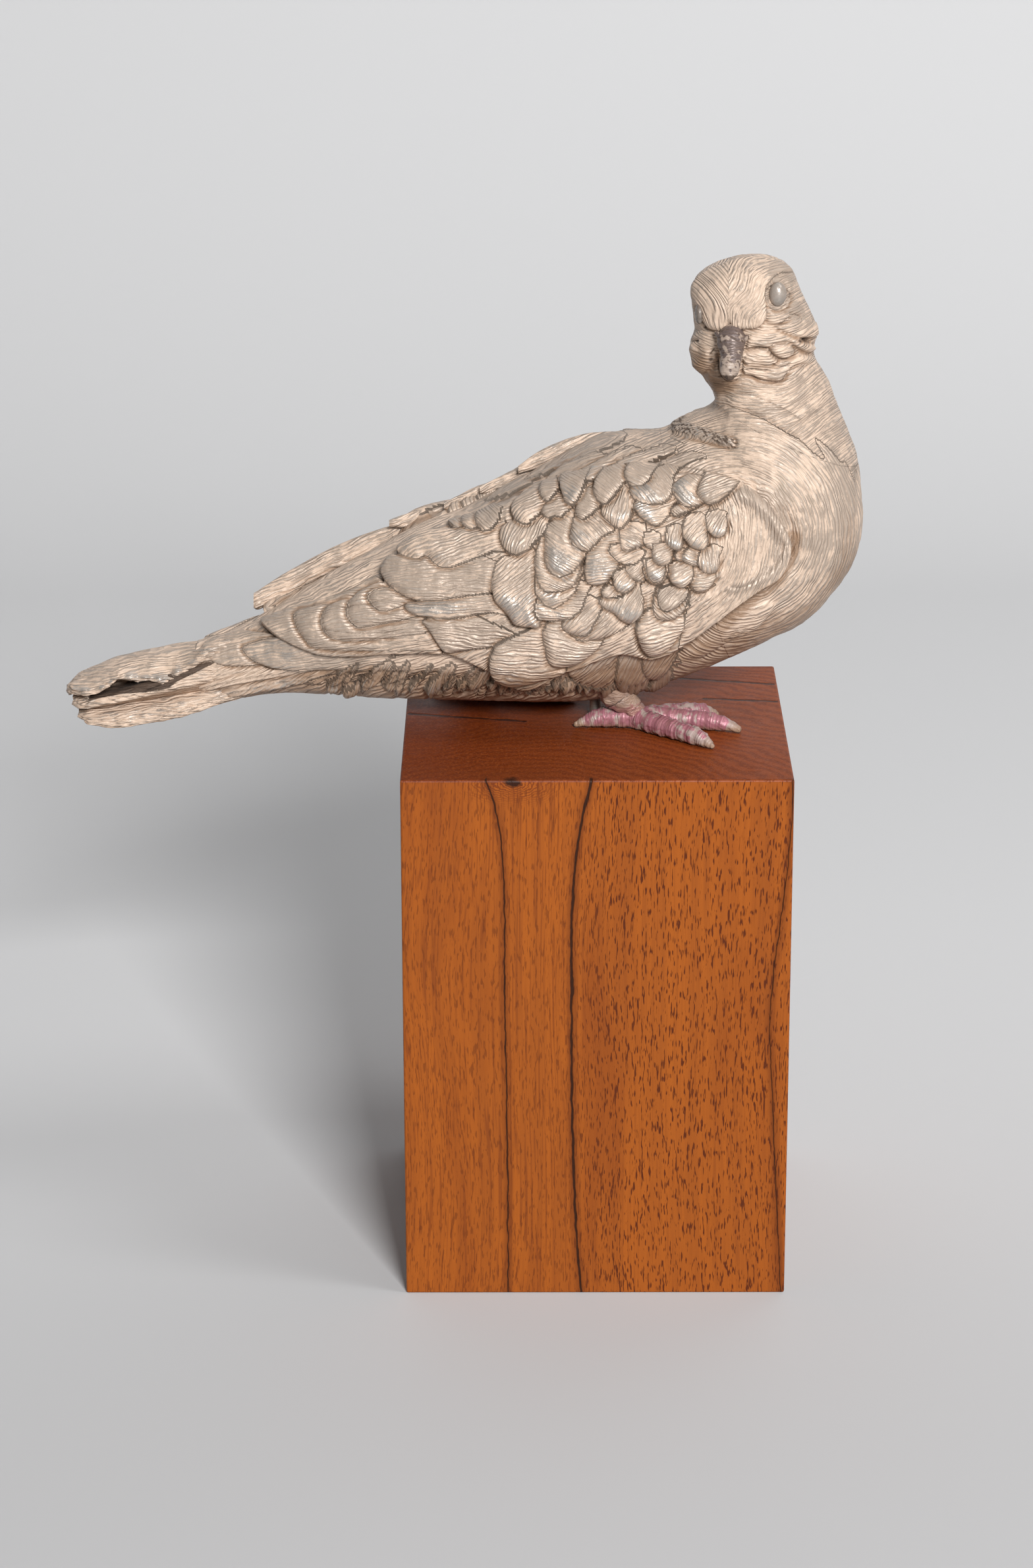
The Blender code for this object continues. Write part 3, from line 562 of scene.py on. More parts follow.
def cast_paint(name, cream=CREAM, worn=WORN, gloss=0.50, strokes=1.0, patches=1.0):
    """Paint, worn paint, stain, dirt, painted shade and bare metal, mixed by the wear and painted shade on the skin
    and by noise.

    strokes is how deep the fine strokes are, and patches how far the worn paint shows."""
    made, tree, shader = finish(name)
    own = node(tree, "TexCoord", output=3)
    marks = tree.nodes.new("ShaderNodeAttribute")
    marks.attribute_name = "wear_and_shade"
    split = tree.nodes.new("ShaderNodeSeparateColor")
    tree.links.new(marks.outputs["Color"], split.inputs[0])
    metal, dark, greyed, brown = *split.outputs[:3], marks.outputs["Alpha"]
    along = node(tree, "Attribute", output=1, attribute_name="strokes")
    cloud = spots(tree, own, 75, detail=5, rough=0.6)
    patch = spots(tree, own, 170, detail=5, rough=0.65)
    speck = spots(tree, own, 1000, detail=2)
    wander = spots(tree, stretched(tree, along, (0.16, 0.06, 1.0)), 1.0, detail=2)
    across = node(tree, "SeparateXYZ", {0: along})
    place = calc(tree, "ADD", across, calc(tree, "MULTIPLY", wander, 6.0))
    phase = calc(tree, "MULTIPLY", place, 2 * np.pi / STROKE)
    comb = scaled(tree, calc(tree, "SINE", phase), 0.5, 0.5)
    streak = spots(tree, stretched(tree, along, (1.1, 0.16, 1.0)), 1.0, detail=2)
    ridge = calc(tree, "MULTIPLY", calc(tree, "POWER", comb, 0.7), rise(tree, streak, 0.22, 0.60))
    wornness = calc(tree, "ADD", calc(tree, "MULTIPLY", greyed, 0.34), calc(tree, "MULTIPLY", patch, 0.9))
    wornness = calc(tree, "ADD", wornness, calc(tree, "MULTIPLY", cloud, 0.45))
    wornness = calc(tree, "ADD", wornness, calc(tree, "MULTIPLY", ridge, 0.28 * strokes))
    thin = calc(tree, "MULTIPLY", rise(tree, wornness, 0.87, 1.00), 0.85 * patches)
    base = blend(tree, thin, cream, worn)
    # Brown from the brown channel and cloud noise: real stain near roots and in patches, and painted shade under
    # rims and edges.
    stain_and_shade = calc(tree, "ADD", calc(tree, "MULTIPLY", brown, 0.75), calc(tree, "MULTIPLY", cloud, 0.7))
    stain_and_shade = calc(tree, "SUBTRACT", stain_and_shade, calc(tree, "MULTIPLY", ridge, 0.25 * strokes))
    stain_and_shade = rise(tree, stain_and_shade, 0.42, 1.15)
    base = blend(tree, stain_and_shade, base, STAIN_AND_SHADE)
    # Painted shade: the cuts between the strokes are painted browner.
    cut = calc(tree, "MULTIPLY", calc(tree, "SUBTRACT", 1.0, ridge), 0.24 * strokes)
    base = blend(tree, cut, base, STAIN_AND_SHADE)
    rubbed = calc(tree, "MULTIPLY", calc(tree, "SUBTRACT", ridge, 0.5), 0.35 * strokes)
    rubbed = calc(tree, "ADD", metal, rubbed)
    rubbed = calc(tree, "ADD", rubbed, calc(tree, "MULTIPLY", calc(tree, "SUBTRACT", patch, 0.5), 1.5))
    bare = rise(tree, rubbed, 0.42, 0.95)
    base = blend(tree, calc(tree, "MULTIPLY", bare, 0.8), base, BARE)
    # Painted shade from the dark channel, in grooves, under rims and on undersides, plus specks of dirt, mixed
    # towards near black.
    dirt_and_shade = calc(tree, "ADD", dark, calc(tree, "MULTIPLY", calc(tree, "SUBTRACT", speck, 0.5), 0.8))
    dirt_and_shade = rise(tree, dirt_and_shade, 0.15, 0.95)
    base = blend(tree, calc(tree, "MULTIPLY", dirt_and_shade, 0.95), base, DIRT_AND_SHADE)
    tree.links.new(base, shader.inputs["Base Color"])
    metallic = calc(tree, "ADD", calc(tree, "MULTIPLY", bare, 0.45), calc(tree, "MULTIPLY", thin, 0.25))
    metallic = calc(tree, "MULTIPLY", metallic, calc(tree, "SUBTRACT", 1.0, dirt_and_shade))
    tree.links.new(metallic, shader.inputs["Metallic"])
    rough = calc(tree, "ADD", gloss, calc(tree, "MULTIPLY", dirt_and_shade, 0.3))
    rough = calc(tree, "SUBTRACT", rough, calc(tree, "MULTIPLY", thin, 0.06))
    rough = calc(tree, "SUBTRACT", rough, calc(tree, "MULTIPLY", bare, 0.10))
    tree.links.new(rough, shader.inputs["Roughness"])
    on_metal = calc(tree, "MULTIPLY", metal, 0.48 * strokes)
    on_grey = calc(tree, "MULTIPLY", greyed, 0.22 * strokes)
    depth = calc(tree, "SUBTRACT", strokes, calc(tree, "ADD", on_metal, on_grey))
    engraved = calc(tree, "MULTIPLY", ridge, depth)
    relief = calc(tree, "ADD", engraved, calc(tree, "MULTIPLY", speck, 0.3))
    bump = node(tree, "Bump", {"Height": relief, "Strength": 1.0, "Distance": 0.50 * MM})
    tree.links.new(bump, shader.inputs["Normal"])
    return made


PAINT = cast_paint("dove_paint")
print(PAINT.name, "mixes", len(PAINT.node_tree.nodes), "nodes")

# %% [markdown]
# ## Strokes, stains and painted shade of the whole bird
#
# Between the feathers the strokes follow the form: rings round the shoulder on the breast, lines along the back,
# slanting lines on the flank. Some places are greyer or browner than others, and soft blots say where. Other blots
# are painted shade: under the chin, along the wing's front edge, along the lowest flank, at the breast's right edge
# and in the small holes of the face. Each blot is a middle, two half sizes and an amount, which is how one would
# dab a stain with a sponge.

# %% Strokes and blots
# Painted shade among the blots: the brown and dark ones under the chin, beside the beak, on the left cheek and in
# the small holes and creases of the face; the brown ones under the wing's front edge; the brown and dark ones along
# the lowest flank; and the grey and brown ones at the breast's right edge, x about 104 to 108. The others are the
# paint's own grey, brown and bare metal.
BLOTS = [
    (GREY, 37, 106, 12, 5, 0.8), (GREY, 18, 105, 8, 6, 0.8), (GREY, -10, 102, 14, 7, 0.6),
    (GREY, -35, 98, 18, 8, 0.5), (GREY, 77, 82, 4, 14, 0.8), (GREY, 70, 93, 7, 5, 0.7),
    (METAL, 68, 80, 6, 9, 0.3), (GREY, 98, 88, 10, 22, 0.3), (GREY, 92, 60, 16, 14, 0.4),
    (METAL, 82, 103, 9, 10, 0.35), (GREY, 0, 116, 40, 5, 0.5), (GREY, 76, 189, 8, 4, 0.9),
    (BROWN, 44, 152, 7, 9, 1.0), (BROWN, 52, 142, 6, 5, 0.9), (DARK, 49.5, 150, 1.2, 4, 0.5),
    (BROWN, 68, 54, 14, 4, 0.5), (BROWN, 60, 30, 20, 6, 0.6), (GREY, 12, 15, 20, 9, 0.7),
    (BROWN, 0, 18, 50, 7, 0.5), (BROWN, -50, 9, 60, 5, 0.9), (BROWN, -100, 14, 40, 6, 0.7),
    (GREY, -100, 40, 30, 12, 0.25), (BROWN, 86, 161, 4, 3, 0.7), (GREY, 79, 176, 8, 8, 0.6),
    (BROWN, 60, 142, 12, 5, 0.5), (GREY, 85, 143, 7, 6, 0.5), (DARK, 87.5, 161, 1.7, 1.0, 1.0),
    (DARK, 84.2, 160.7, 0.9, 0.6, 0.9), (DARK, 47.9, 153.2, 0.8, 0.8, 0.9),
    (DARK, 45.2, 166.7, 0.8, 0.9, 0.9), (DARK, 79.2, 181.5, 0.5, 0.8, 0.7),
    (DARK, 43, 160.5, 1.5, 0.5, 0.6), (GREY, 84, 92, 26, 34, 0.3), (GREY, 78, 132, 22, 10, 0.3),
    (GREY, 105, 85, 7, 30, 0.5), (BROWN, 108, 80, 6, 40, 0.4), (GREY, -10, 108, 26, 5, 0.7),
    (GREY, 24, 112, 16, 6, 0.7), (GREY, -48, 92, 20, 6, 0.6), (METAL, 0, 110, 26, 4, 0.3),
    (GREY, 82, 172, 8, 5, 0.7), (GREY, 78, 190, 8, 5, 0.8), (GREY, 72, 132, 5, 4, 0.5),
    (GREY, 62, 139, 6, 3, 0.5), (GREY, 98, 112, 5, 14, 0.4), (BROWN, -20, 9, 40, 5, 1.0),
    (BROWN, -60, 14, 60, 7, 0.5), (DARK, -18, 9, 34, 3, 0.30), (BROWN, 40, 22, 22, 7, 0.5),
    (GREY, 104, 96, 5, 12, 0.4), (GREY, 90, 40, 10, 8, 0.4), (GREY, 68, 160, 3, 2, 0.9),
    (GREY, 80, 157, 3, 2, 0.9), (GREY, 76, 146, 5, 2, 0.9),
]
SHOULDER = (57, 78)


def blot(seen, wear_and_shade):
    """Adds the blots to the wear and painted shade: each is an amount times a bell curve of the distance in half
    sizes.
    """
    for kind, x, z, half_width, half_height, amount in BLOTS:
        away = ((seen[..., 0] - x) / half_width) ** 2 + ((seen[..., 1] - z) / half_height) ** 2
        wear_and_shade[..., kind] += amount * np.exp(-away)
    return wear_and_shade


NECK_CREASE = (
    [30, 54, 63, 70, 77, 82, 88, 96, 110],
    [136, 133.4, 130.8, 127.8, 123.8, 120.8, 117.8, 113, 104],
)


def stroke_field(across, along, number):
    """Stroke coordinates: the place across the strokes, the place along them, and a number for the noise."""
    return np.stack([across, along + 0 * across, number + 0 * across], axis=-1)


def form_strokes(seen, at, side):
    """Stroke coordinates of the bare body: rings round the shoulder in front, lines along the back behind.

    side is the distance from the middle plane. It bends the rings towards the keel, and
    makes the neck's border uneven."""
    x, z = seen[..., 0], seen[..., 1]
    keel = 0.8 * np.maximum(0, 36 - side)
    from_x, from_z = x - SHOULDER[0], z - SHOULDER[1]
    rings = stroke_field(np.sqrt(from_x ** 2 + from_z ** 2 + keel ** 2), np.arctan2(from_z, from_x) * 30, 3.1)
    back = stroke_field(0.9 * z - 0.42 * x, 0.42 * z + 0.9 * x, 3.1)
    flank = stroke_field(0.97 * z - 0.25 * x, x, 3.1)
    neck = stroke_field(z - 0.014 * (x - 66) ** 2 + 1.2 * np.sin(x / 5.5), x, 5.9)
    rear = np.where((z > 50 + 0.3 * x)[..., None], back, flank)
    border = x + 2.2 * np.sin(z / 2.1) + 1.5 * np.sin(z / 0.9)
    body = np.where((border > 34 + 0 * at)[..., None], rings, rear)
    uneven = smooth((x - 84) / 8) * (2.6 * np.sin(0.45 * side) + 1.8 * np.sin(1.1 * side + 1))
    on_neck = (z + uneven > np.interp(x, *NECK_CREASE)) & (at > 14)
    return np.where(on_neck[..., None], neck, body)


print("the paint has", len(BLOTS), "blots")

# %% [markdown]
# ## Body and breast
#
# The trunk carries only a few folds of its own, since the wings hide most of it. It is
# made in two skins that meet edge to edge under the wings, so that each stays light.
# The first skin dips under the next one where they meet, which closes the joint. Below
# the wing hangs a fringe of small tufts, scored with many fine hairs at random, because
# even hairs would look combed. Six low feathers lie on the shoulder, where the back runs
# over the wing's upper edge.

# %% Body and breast
TAIL_COVERTS = [
    feather((-105, 24), 1.8, [(-120, 32), (-150, 36), (-165, 30), (-163.5, 25), (-160, 21.5),
        (-150, 20.5), (-125, 22)], rub=0.5, angle=12),
    feather((-85, 26), 2.0, [(-110, 36), (-130, 34), (-147, 29), (-146.5, 25), (-142, 22), (-135, 19.5),
        (-122, 18.5), (-110, 19)], angle=10),
]
FRINGE = []
for x, jog in zip(np.arange(-112, 26, 4.6), np.random.default_rng(9).uniform(-1, 1, (40, 5))):
    tip = 8.0 + 2.2 * jog[1] + 0.03 * max(0, -60 - x)
    x = x + 3 * jog[0]
    high = 14 + 3 * jog[2]
    wide = 2.9 + 1.5 * jog[3]
    lean = 5 + 3 * jog[4]
    FRINGE.append(feather((x + lean, high + 6), 1.4 + 0.6 * jog[4], [
        (x - wide + 0.6 * lean, high),
        (x - wide, 0.6 * high + 0.4 * tip),
        (x - 0.3 * lean, tip),
        (x + wide, 0.5 * high + 0.5 * tip),
        (x + wide + 0.6 * lean, high + 2),
    ], roll=1.6, rub=0.5, angle=62 - 14 * jog[1]))
THIGH = [
    feather((10, 30), 1.2, [(-12, 20), (-9, 14), (0, 11), (8, 12), (18, 20)], rub=0.3, angle=38),
    feather((20, 30), 1.2, [(10, 22), (9, 13), (13, 7), (19, 8), (24, 14), (27, 22)],
        rub=0.4, angle=62),
    feather((30, 34), 1.2, [(20, 24), (21, 17), (25, 14), (31, 18), (37, 27)], rub=0.3, angle=52),
]
SCAPULARS = [
    feather((-18, 109), 1.2, [(-30, 107), (-40, 101), (-48, 95.5), (-46, 93), (-38, 94.5), (-28, 99.5),
        (-22, 104)], 2, 0.6, 25),
    feather((16, 125), 1.0, [(-8, 119), (-22, 113.5), (-31.5, 107.5), (-32.5, 103.5), (-26, 102.5),
        (-14, 107), (-2, 112)], 2, 0.7, 25),
    feather((6, 113), 1.2, [(-4, 112), (-14, 107), (-20, 102), (-18.5, 99.5), (-12, 101), (-4, 105),
        (2, 109)], 2, 0.5, 25),
    feather((20, 115), 1.3, [(10, 114.5), (0, 109), (-8, 103.5), (-9, 100.5), (-3, 101), (6, 105),
        (14, 110)], 2, 0.6, 25),
    feather((34, 116), 1.2, [(24, 115.5), (14, 111.5), (6, 106.5), (5, 103.5), (11, 103.5), (20, 107),
        (28, 111.5)], 2, 0.5, 22),
    feather((46, 113), 1.0, [(36, 113), (27, 109.5), (21, 105.5), (21.5, 103), (28, 103.5), (36, 106.5),
        (42, 110)], 2, 0.4, 20),
]
BODY_FOLDS = [
    fold(1.2, [(-168, 11.6), (-150, 16), (-135, 18.6), (-122, 19.4), (-118, 18), (-135, 15.6),
        (-150, 12.8), (-168, 9.0)], roll=1.6, rub=0.7),
    fold(1.0, [(-160, 8.4), (-145, 11.4), (-132, 13.8), (-122, 14.6), (-124, 12.6), (-140, 9.6),
        (-158, 6.2)], roll=1.4, rub=0.6),
    fold(1.0, [(46, 24), (56, 30), (63, 34), (69, 37.5), (76, 48), (62, 46), (46, 36), (36, 26)],
        roll=3.5),
    fold(1.3, [(30, 127), (40, 125.5), (50, 122), (57, 119), (56, 116), (48, 118), (36, 121),
        (28, 124)], roll=2.5),
]
BODY_LINES = [
    (0.9, 0.8, [(42, 21.5), (48, 24.5), (53, 28), (58, 31.8), (63, 35.4), (67, 37.6)]),
    (0.5, 0.5, [(52, 30), (58, 34), (62, 38)]),
    (0.5, 0.6, [(-12, 18.5), (-6, 20), (0, 22.8), (6, 28), (12, 34)]),
    (0.5, 0.6, [(-10, 15), (0, 17), (8, 21), (16, 27)]),
    (0.6, 0.7, [(-120, 14), (-100, 17.3), (-85, 17.6), (-70, 17), (-50, 16)]),
    (0.5, 0.6, [(-140, 14), (-120, 11.5), (-95, 12), (-75, 13)]),
    (1.9, 2.6, [(76, 90), (80.5, 84), (83, 77), (82.5, 70), (78.5, 61.5), (70.5, 54.5), (61.5, 47),
        (52, 39), (41, 29.5), (30, 22)]),
    (1.0, 1.0, [(-172, 9.6), (-155, 13.2), (-140, 16.2), (-125, 17.6), (-112, 17.8)]),
    (0.9, 0.9, [(-165, 6.2), (-150, 9.4), (-134, 13.0), (-120, 14.2)]),
    (1.3, 0.85, [(83.5, 76), (82.5, 69), (78.5, 61), (70.5, 54), (61.5, 46.5), (52, 38.5), (41, 29),
        (33, 23)]),
]
for x, jog in zip(np.arange(-116, 22, 2.9), np.random.default_rng(12).uniform(-1, 1, (50, 3))):
    lock = [(x, 15 + 2 * jog[0]), (x - 1 - jog[1], 10.5), (x - 2.5 - 1.5 * jog[1], 6.5 + jog[2])]
    if x < -70:
        lock = [(x + 7, 17.5 + 2 * jog[0]), (x, 14 + jog[1]), (x - 6, 11.5 + jog[2])]
    BODY_LINES.insert(0, (0.9 + 0.3 * jog[0], 0.5 + 0.15 * jog[2], lock))
WING_BORDER = BODY_LINES[-1][-1]
COLLAR = [(31, 125), (40, 122.5), (48, 120.5), (57, 117)]
JOINT_DIP = 1.5
print("the trunk carries", len(FRINGE), "tufts and", len(SCAPULARS), "low feathers")
print("it has", len(BODY_LINES), "scored lines")


def body_skin(first, last, rows, columns, shapes, lines, strokes_of, bumps=(), dip=True):
    """A length of the body between two cut numbers, carved on both sides, with the far side plainer.

    The skin is the bare body plus its normal times the height of the carving."""
    rows, columns = int(rows * FINE), int(columns * FINE)
    at = np.linspace(first, last, rows)[:, None]
    even = np.linspace(0, 2 * np.pi, columns + 1)[:-1][None, :]
    turn = even + 0.3 * (np.cos(even) - 1)
    skin = body_point(at, turn)
    facing = skin.copy()
    facing[..., 1] = -np.abs(skin[..., 1])
    seen = drawn(facing)
    flat = seen.reshape(-1, 2)
    height, wear_and_shade, grain = carve(flat, shapes)
    scored, dark = score(flat, lines)
    height = (height + scored).reshape(seen.shape[:2]) + lumps(seen, bumps)
    wear_and_shade[:, DARK] = np.maximum(wear_and_shade[:, DARK], dark)
    wear_and_shade = wear_and_shade.reshape(*seen.shape[:2], 4)
    grain = grain.reshape(*seen.shape[:2], 4)
    far = skin[..., 1] > 0
    share = np.where(far, np.where(at > 22, 0, 0.5), 1.0) * smooth(np.abs(skin[..., 1]) / 8)
    height = height * share
    wear_and_shade = blot(seen, wear_and_shade * share[..., None]) * np.where(far & (at > 20), 0.25, 1.0)[..., None]
    strokes = np.where(grain[..., 3:] > 0.5, grain[..., :3], strokes_of(seen, at, np.abs(skin[..., 1])))
    # Painted shade: browner towards the underside of the trunk and breast.
    wear_and_shade[..., BROWN] += 0.9 * smooth((-np.cos(turn) - 0.35) / 0.5) * smooth((18 - at) / 4)
    # Painted shade: brown and dark on the body just below the wing's lower border.
    border, _ = line_distance(flat, WING_BORDER)
    border = border.reshape(seen.shape[:2])
    wear_and_shade[..., BROWN] += smooth(1.5 - border / 3.6)
    wear_and_shade[..., DARK] = np.maximum(wear_and_shade[..., DARK], 0.34 * smooth(1.2 - border / 2.0))
    height = height + 0.22 * swells(skin, 9.0, 3) + 0.10 * swells(skin, 3.2, 4)
    if dip:
        height = height - JOINT_DIP * smooth((at - (last - 0.35)) / 0.35)
    return skin + body_normal(at, turn) * height[..., None], wear_and_shade, strokes, seen


shapes = TAIL_COVERTS + FRINGE + THIGH + SCAPULARS
rings, wear_and_shade, strokes, _ = body_skin(0, 12.35, 380, 170, shapes + BODY_FOLDS, BODY_LINES, form_strokes)
skin_piece("dove_body", rings, PAINT, wear_and_shade, strokes)
rings, wear_and_shade, strokes, seen = body_skin(12, 19.25, 240, 290, shapes + BODY_FOLDS, BODY_LINES, form_strokes)
gap, _ = line_distance(seen.reshape(-1, 2), COLLAR)
band = smooth(1 - (gap.reshape(seen.shape[:2]) - 1.2) / 3.0) * (rings[..., 1] < 6)
soot = band * smooth(0.50 + 1.3 * swells(rings, 1.3, 8) + 0.4 * swells(rings, 4.0, 9))
wear_and_shade[..., DARK] = np.maximum(wear_and_shade[..., DARK], 0.85 * soot)
wear_and_shade[..., GREY] += 0.6 * band
wear_and_shade[..., METAL] += 0.7 * band * smooth(-1.5 * swells(rings, 1.3, 8))
skin_piece("dove_breast", rings, PAINT, wear_and_shade, strokes)

# %% [markdown]
# ## Wings
#
# A folded wing is a shell on the body's side. Its drawn upper and lower edges are
# found on the body, the shell spans them as a grid, and the feathers are carved on it.
# The far wing is the near one mirrored, with a coarser grid, since nobody stands close
# to it. Long feathers lie behind, short round ones in rows over the shoulder, and each
# row covers the roots of the one behind. The shoulder's low feathers are carved here as
# well, so that they run across the shell's edge. The bend of the wing, the wrist, is
# worn grey along a rim, and its strokes are arcs.

# %% Wing feathers
WING_TOP = [
    (81.5, 76), (79, 82), (74.5, 89), (68, 96), (60, 101), (48, 105), (33, 108),
    (16, 109), (0, 107), (-16, 103), (-32, 96), (-48, 88), (-64, 82), (-79, 76),
    (-90, 63), (-104, 54), (-119, 49), (-132, 45), (-140, 40.5),
]
WING_BOTTOM = [
    (81.5, 74), (79.5, 68), (75.5, 60.5), (67, 55), (58, 48), (49, 40), (38, 31),
    (25, 24.5), (10, 26), (-10, 19), (-30, 11.5), (-45, 19), (-60, 25.5), (-75, 26),
    (-90, 25.5), (-104, 24), (-119, 26), (-132, 31.5), (-139.5, 37.5),
]
LONG_FEATHERS = [
    feather((-70, 38), 1.8, [(-92, 60), (-105, 53), (-125, 47), (-138.5, 42), (-140.5, 39),
        (-135, 33.5), (-120, 26.5), (-110, 24.5), (-70, 26)], 4, 0.4, 14),
    feather((-65, 38), 2.4, [(-100, 50), (-122, 45), (-126, 41), (-122, 33), (-113, 28), (-65, 27.5)],
        4, 0.35, 8),
    feather((-60, 42), 2.8, [(-95, 52), (-110, 47.5), (-114.5, 40), (-111, 33.5), (-98, 32), (-66, 36)],
        4, 0.35, 6),
    feather((-60, 48), 2.8, [(-88, 58), (-100, 52), (-103.8, 44), (-101, 38.8), (-95, 38), (-62, 45)],
        4, 0.45, 4),
    feather((-72, 52), 2.6, [(-84, 56), (-93, 52.5), (-94.5, 49), (-88.5, 44.5), (-76, 49)], 4, 0.6, 0),
    feather((-35, 36), 2.4, [(-60, 43), (-72, 41), (-70, 37), (-66, 30.5), (-62, 26.5), (-50, 28),
        (-38, 29)], 4, 0.6, -6),
    feather((-22, 47), 2.8, [(-60, 51), (-79, 48), (-75, 43), (-60, 41.5), (-42, 44), (-32, 39)],
        3.5, 1, 2),
    feather((-30, 62), 3.2, [(-60, 69), (-83, 69.5), (-89.5, 61.5), (-84, 54), (-73, 49), (-55, 51),
        (-36, 54)], 5, 1, 3),
    feather((-35, 78), 3.2, [(-42, 84), (-65, 80), (-75, 77.5), (-83, 70.5), (-74, 66.5), (-70, 68),
        (-62, 63), (-42, 70.5)], 5, 0.8, 22),
    feather((-20, 40), 3.0, [(-26, 37), (-40, 31), (-43, 27), (-44.5, 22), (-44, 17), (-42, 14),
        (-39, 12.5), (-35, 11.8), (-31, 12.2), (-26, 13.3), (-20, 14.8), (-15, 16), (-12, 18),
        (-10, 26)], 4.5, 0.8, -3),
    feather((-24, 70), 3.4, [(-33, 70), (-40, 67), (-42.5, 60), (-43, 55), (-42.5, 51), (-41, 48),
        (-38, 45), (-36, 42.5), (-34, 39), (-31, 38), (-27, 37.6), (-23, 38), (-22, 44)], 5, 0.9, 38),
    feather((-4, 44), 3.0, [(-19, 40), (-21.5, 36), (-21, 30), (-20, 25), (-18.5, 21.5), (-16, 20.3),
        (-12, 20.5), (-8, 21.5), (-4, 23.5), (0, 26.5), (3, 30), (6, 36)], 4.5, 0.7, -12),
    feather((33, 48), 3.0, [(19, 42), (17.5, 37), (18.5, 32), (20, 28), (22.5, 25.5), (25, 25),
        (29, 26.5), (33, 30), (36, 34), (38, 38), (38, 44)], 4.5, 0.4, 10),
]
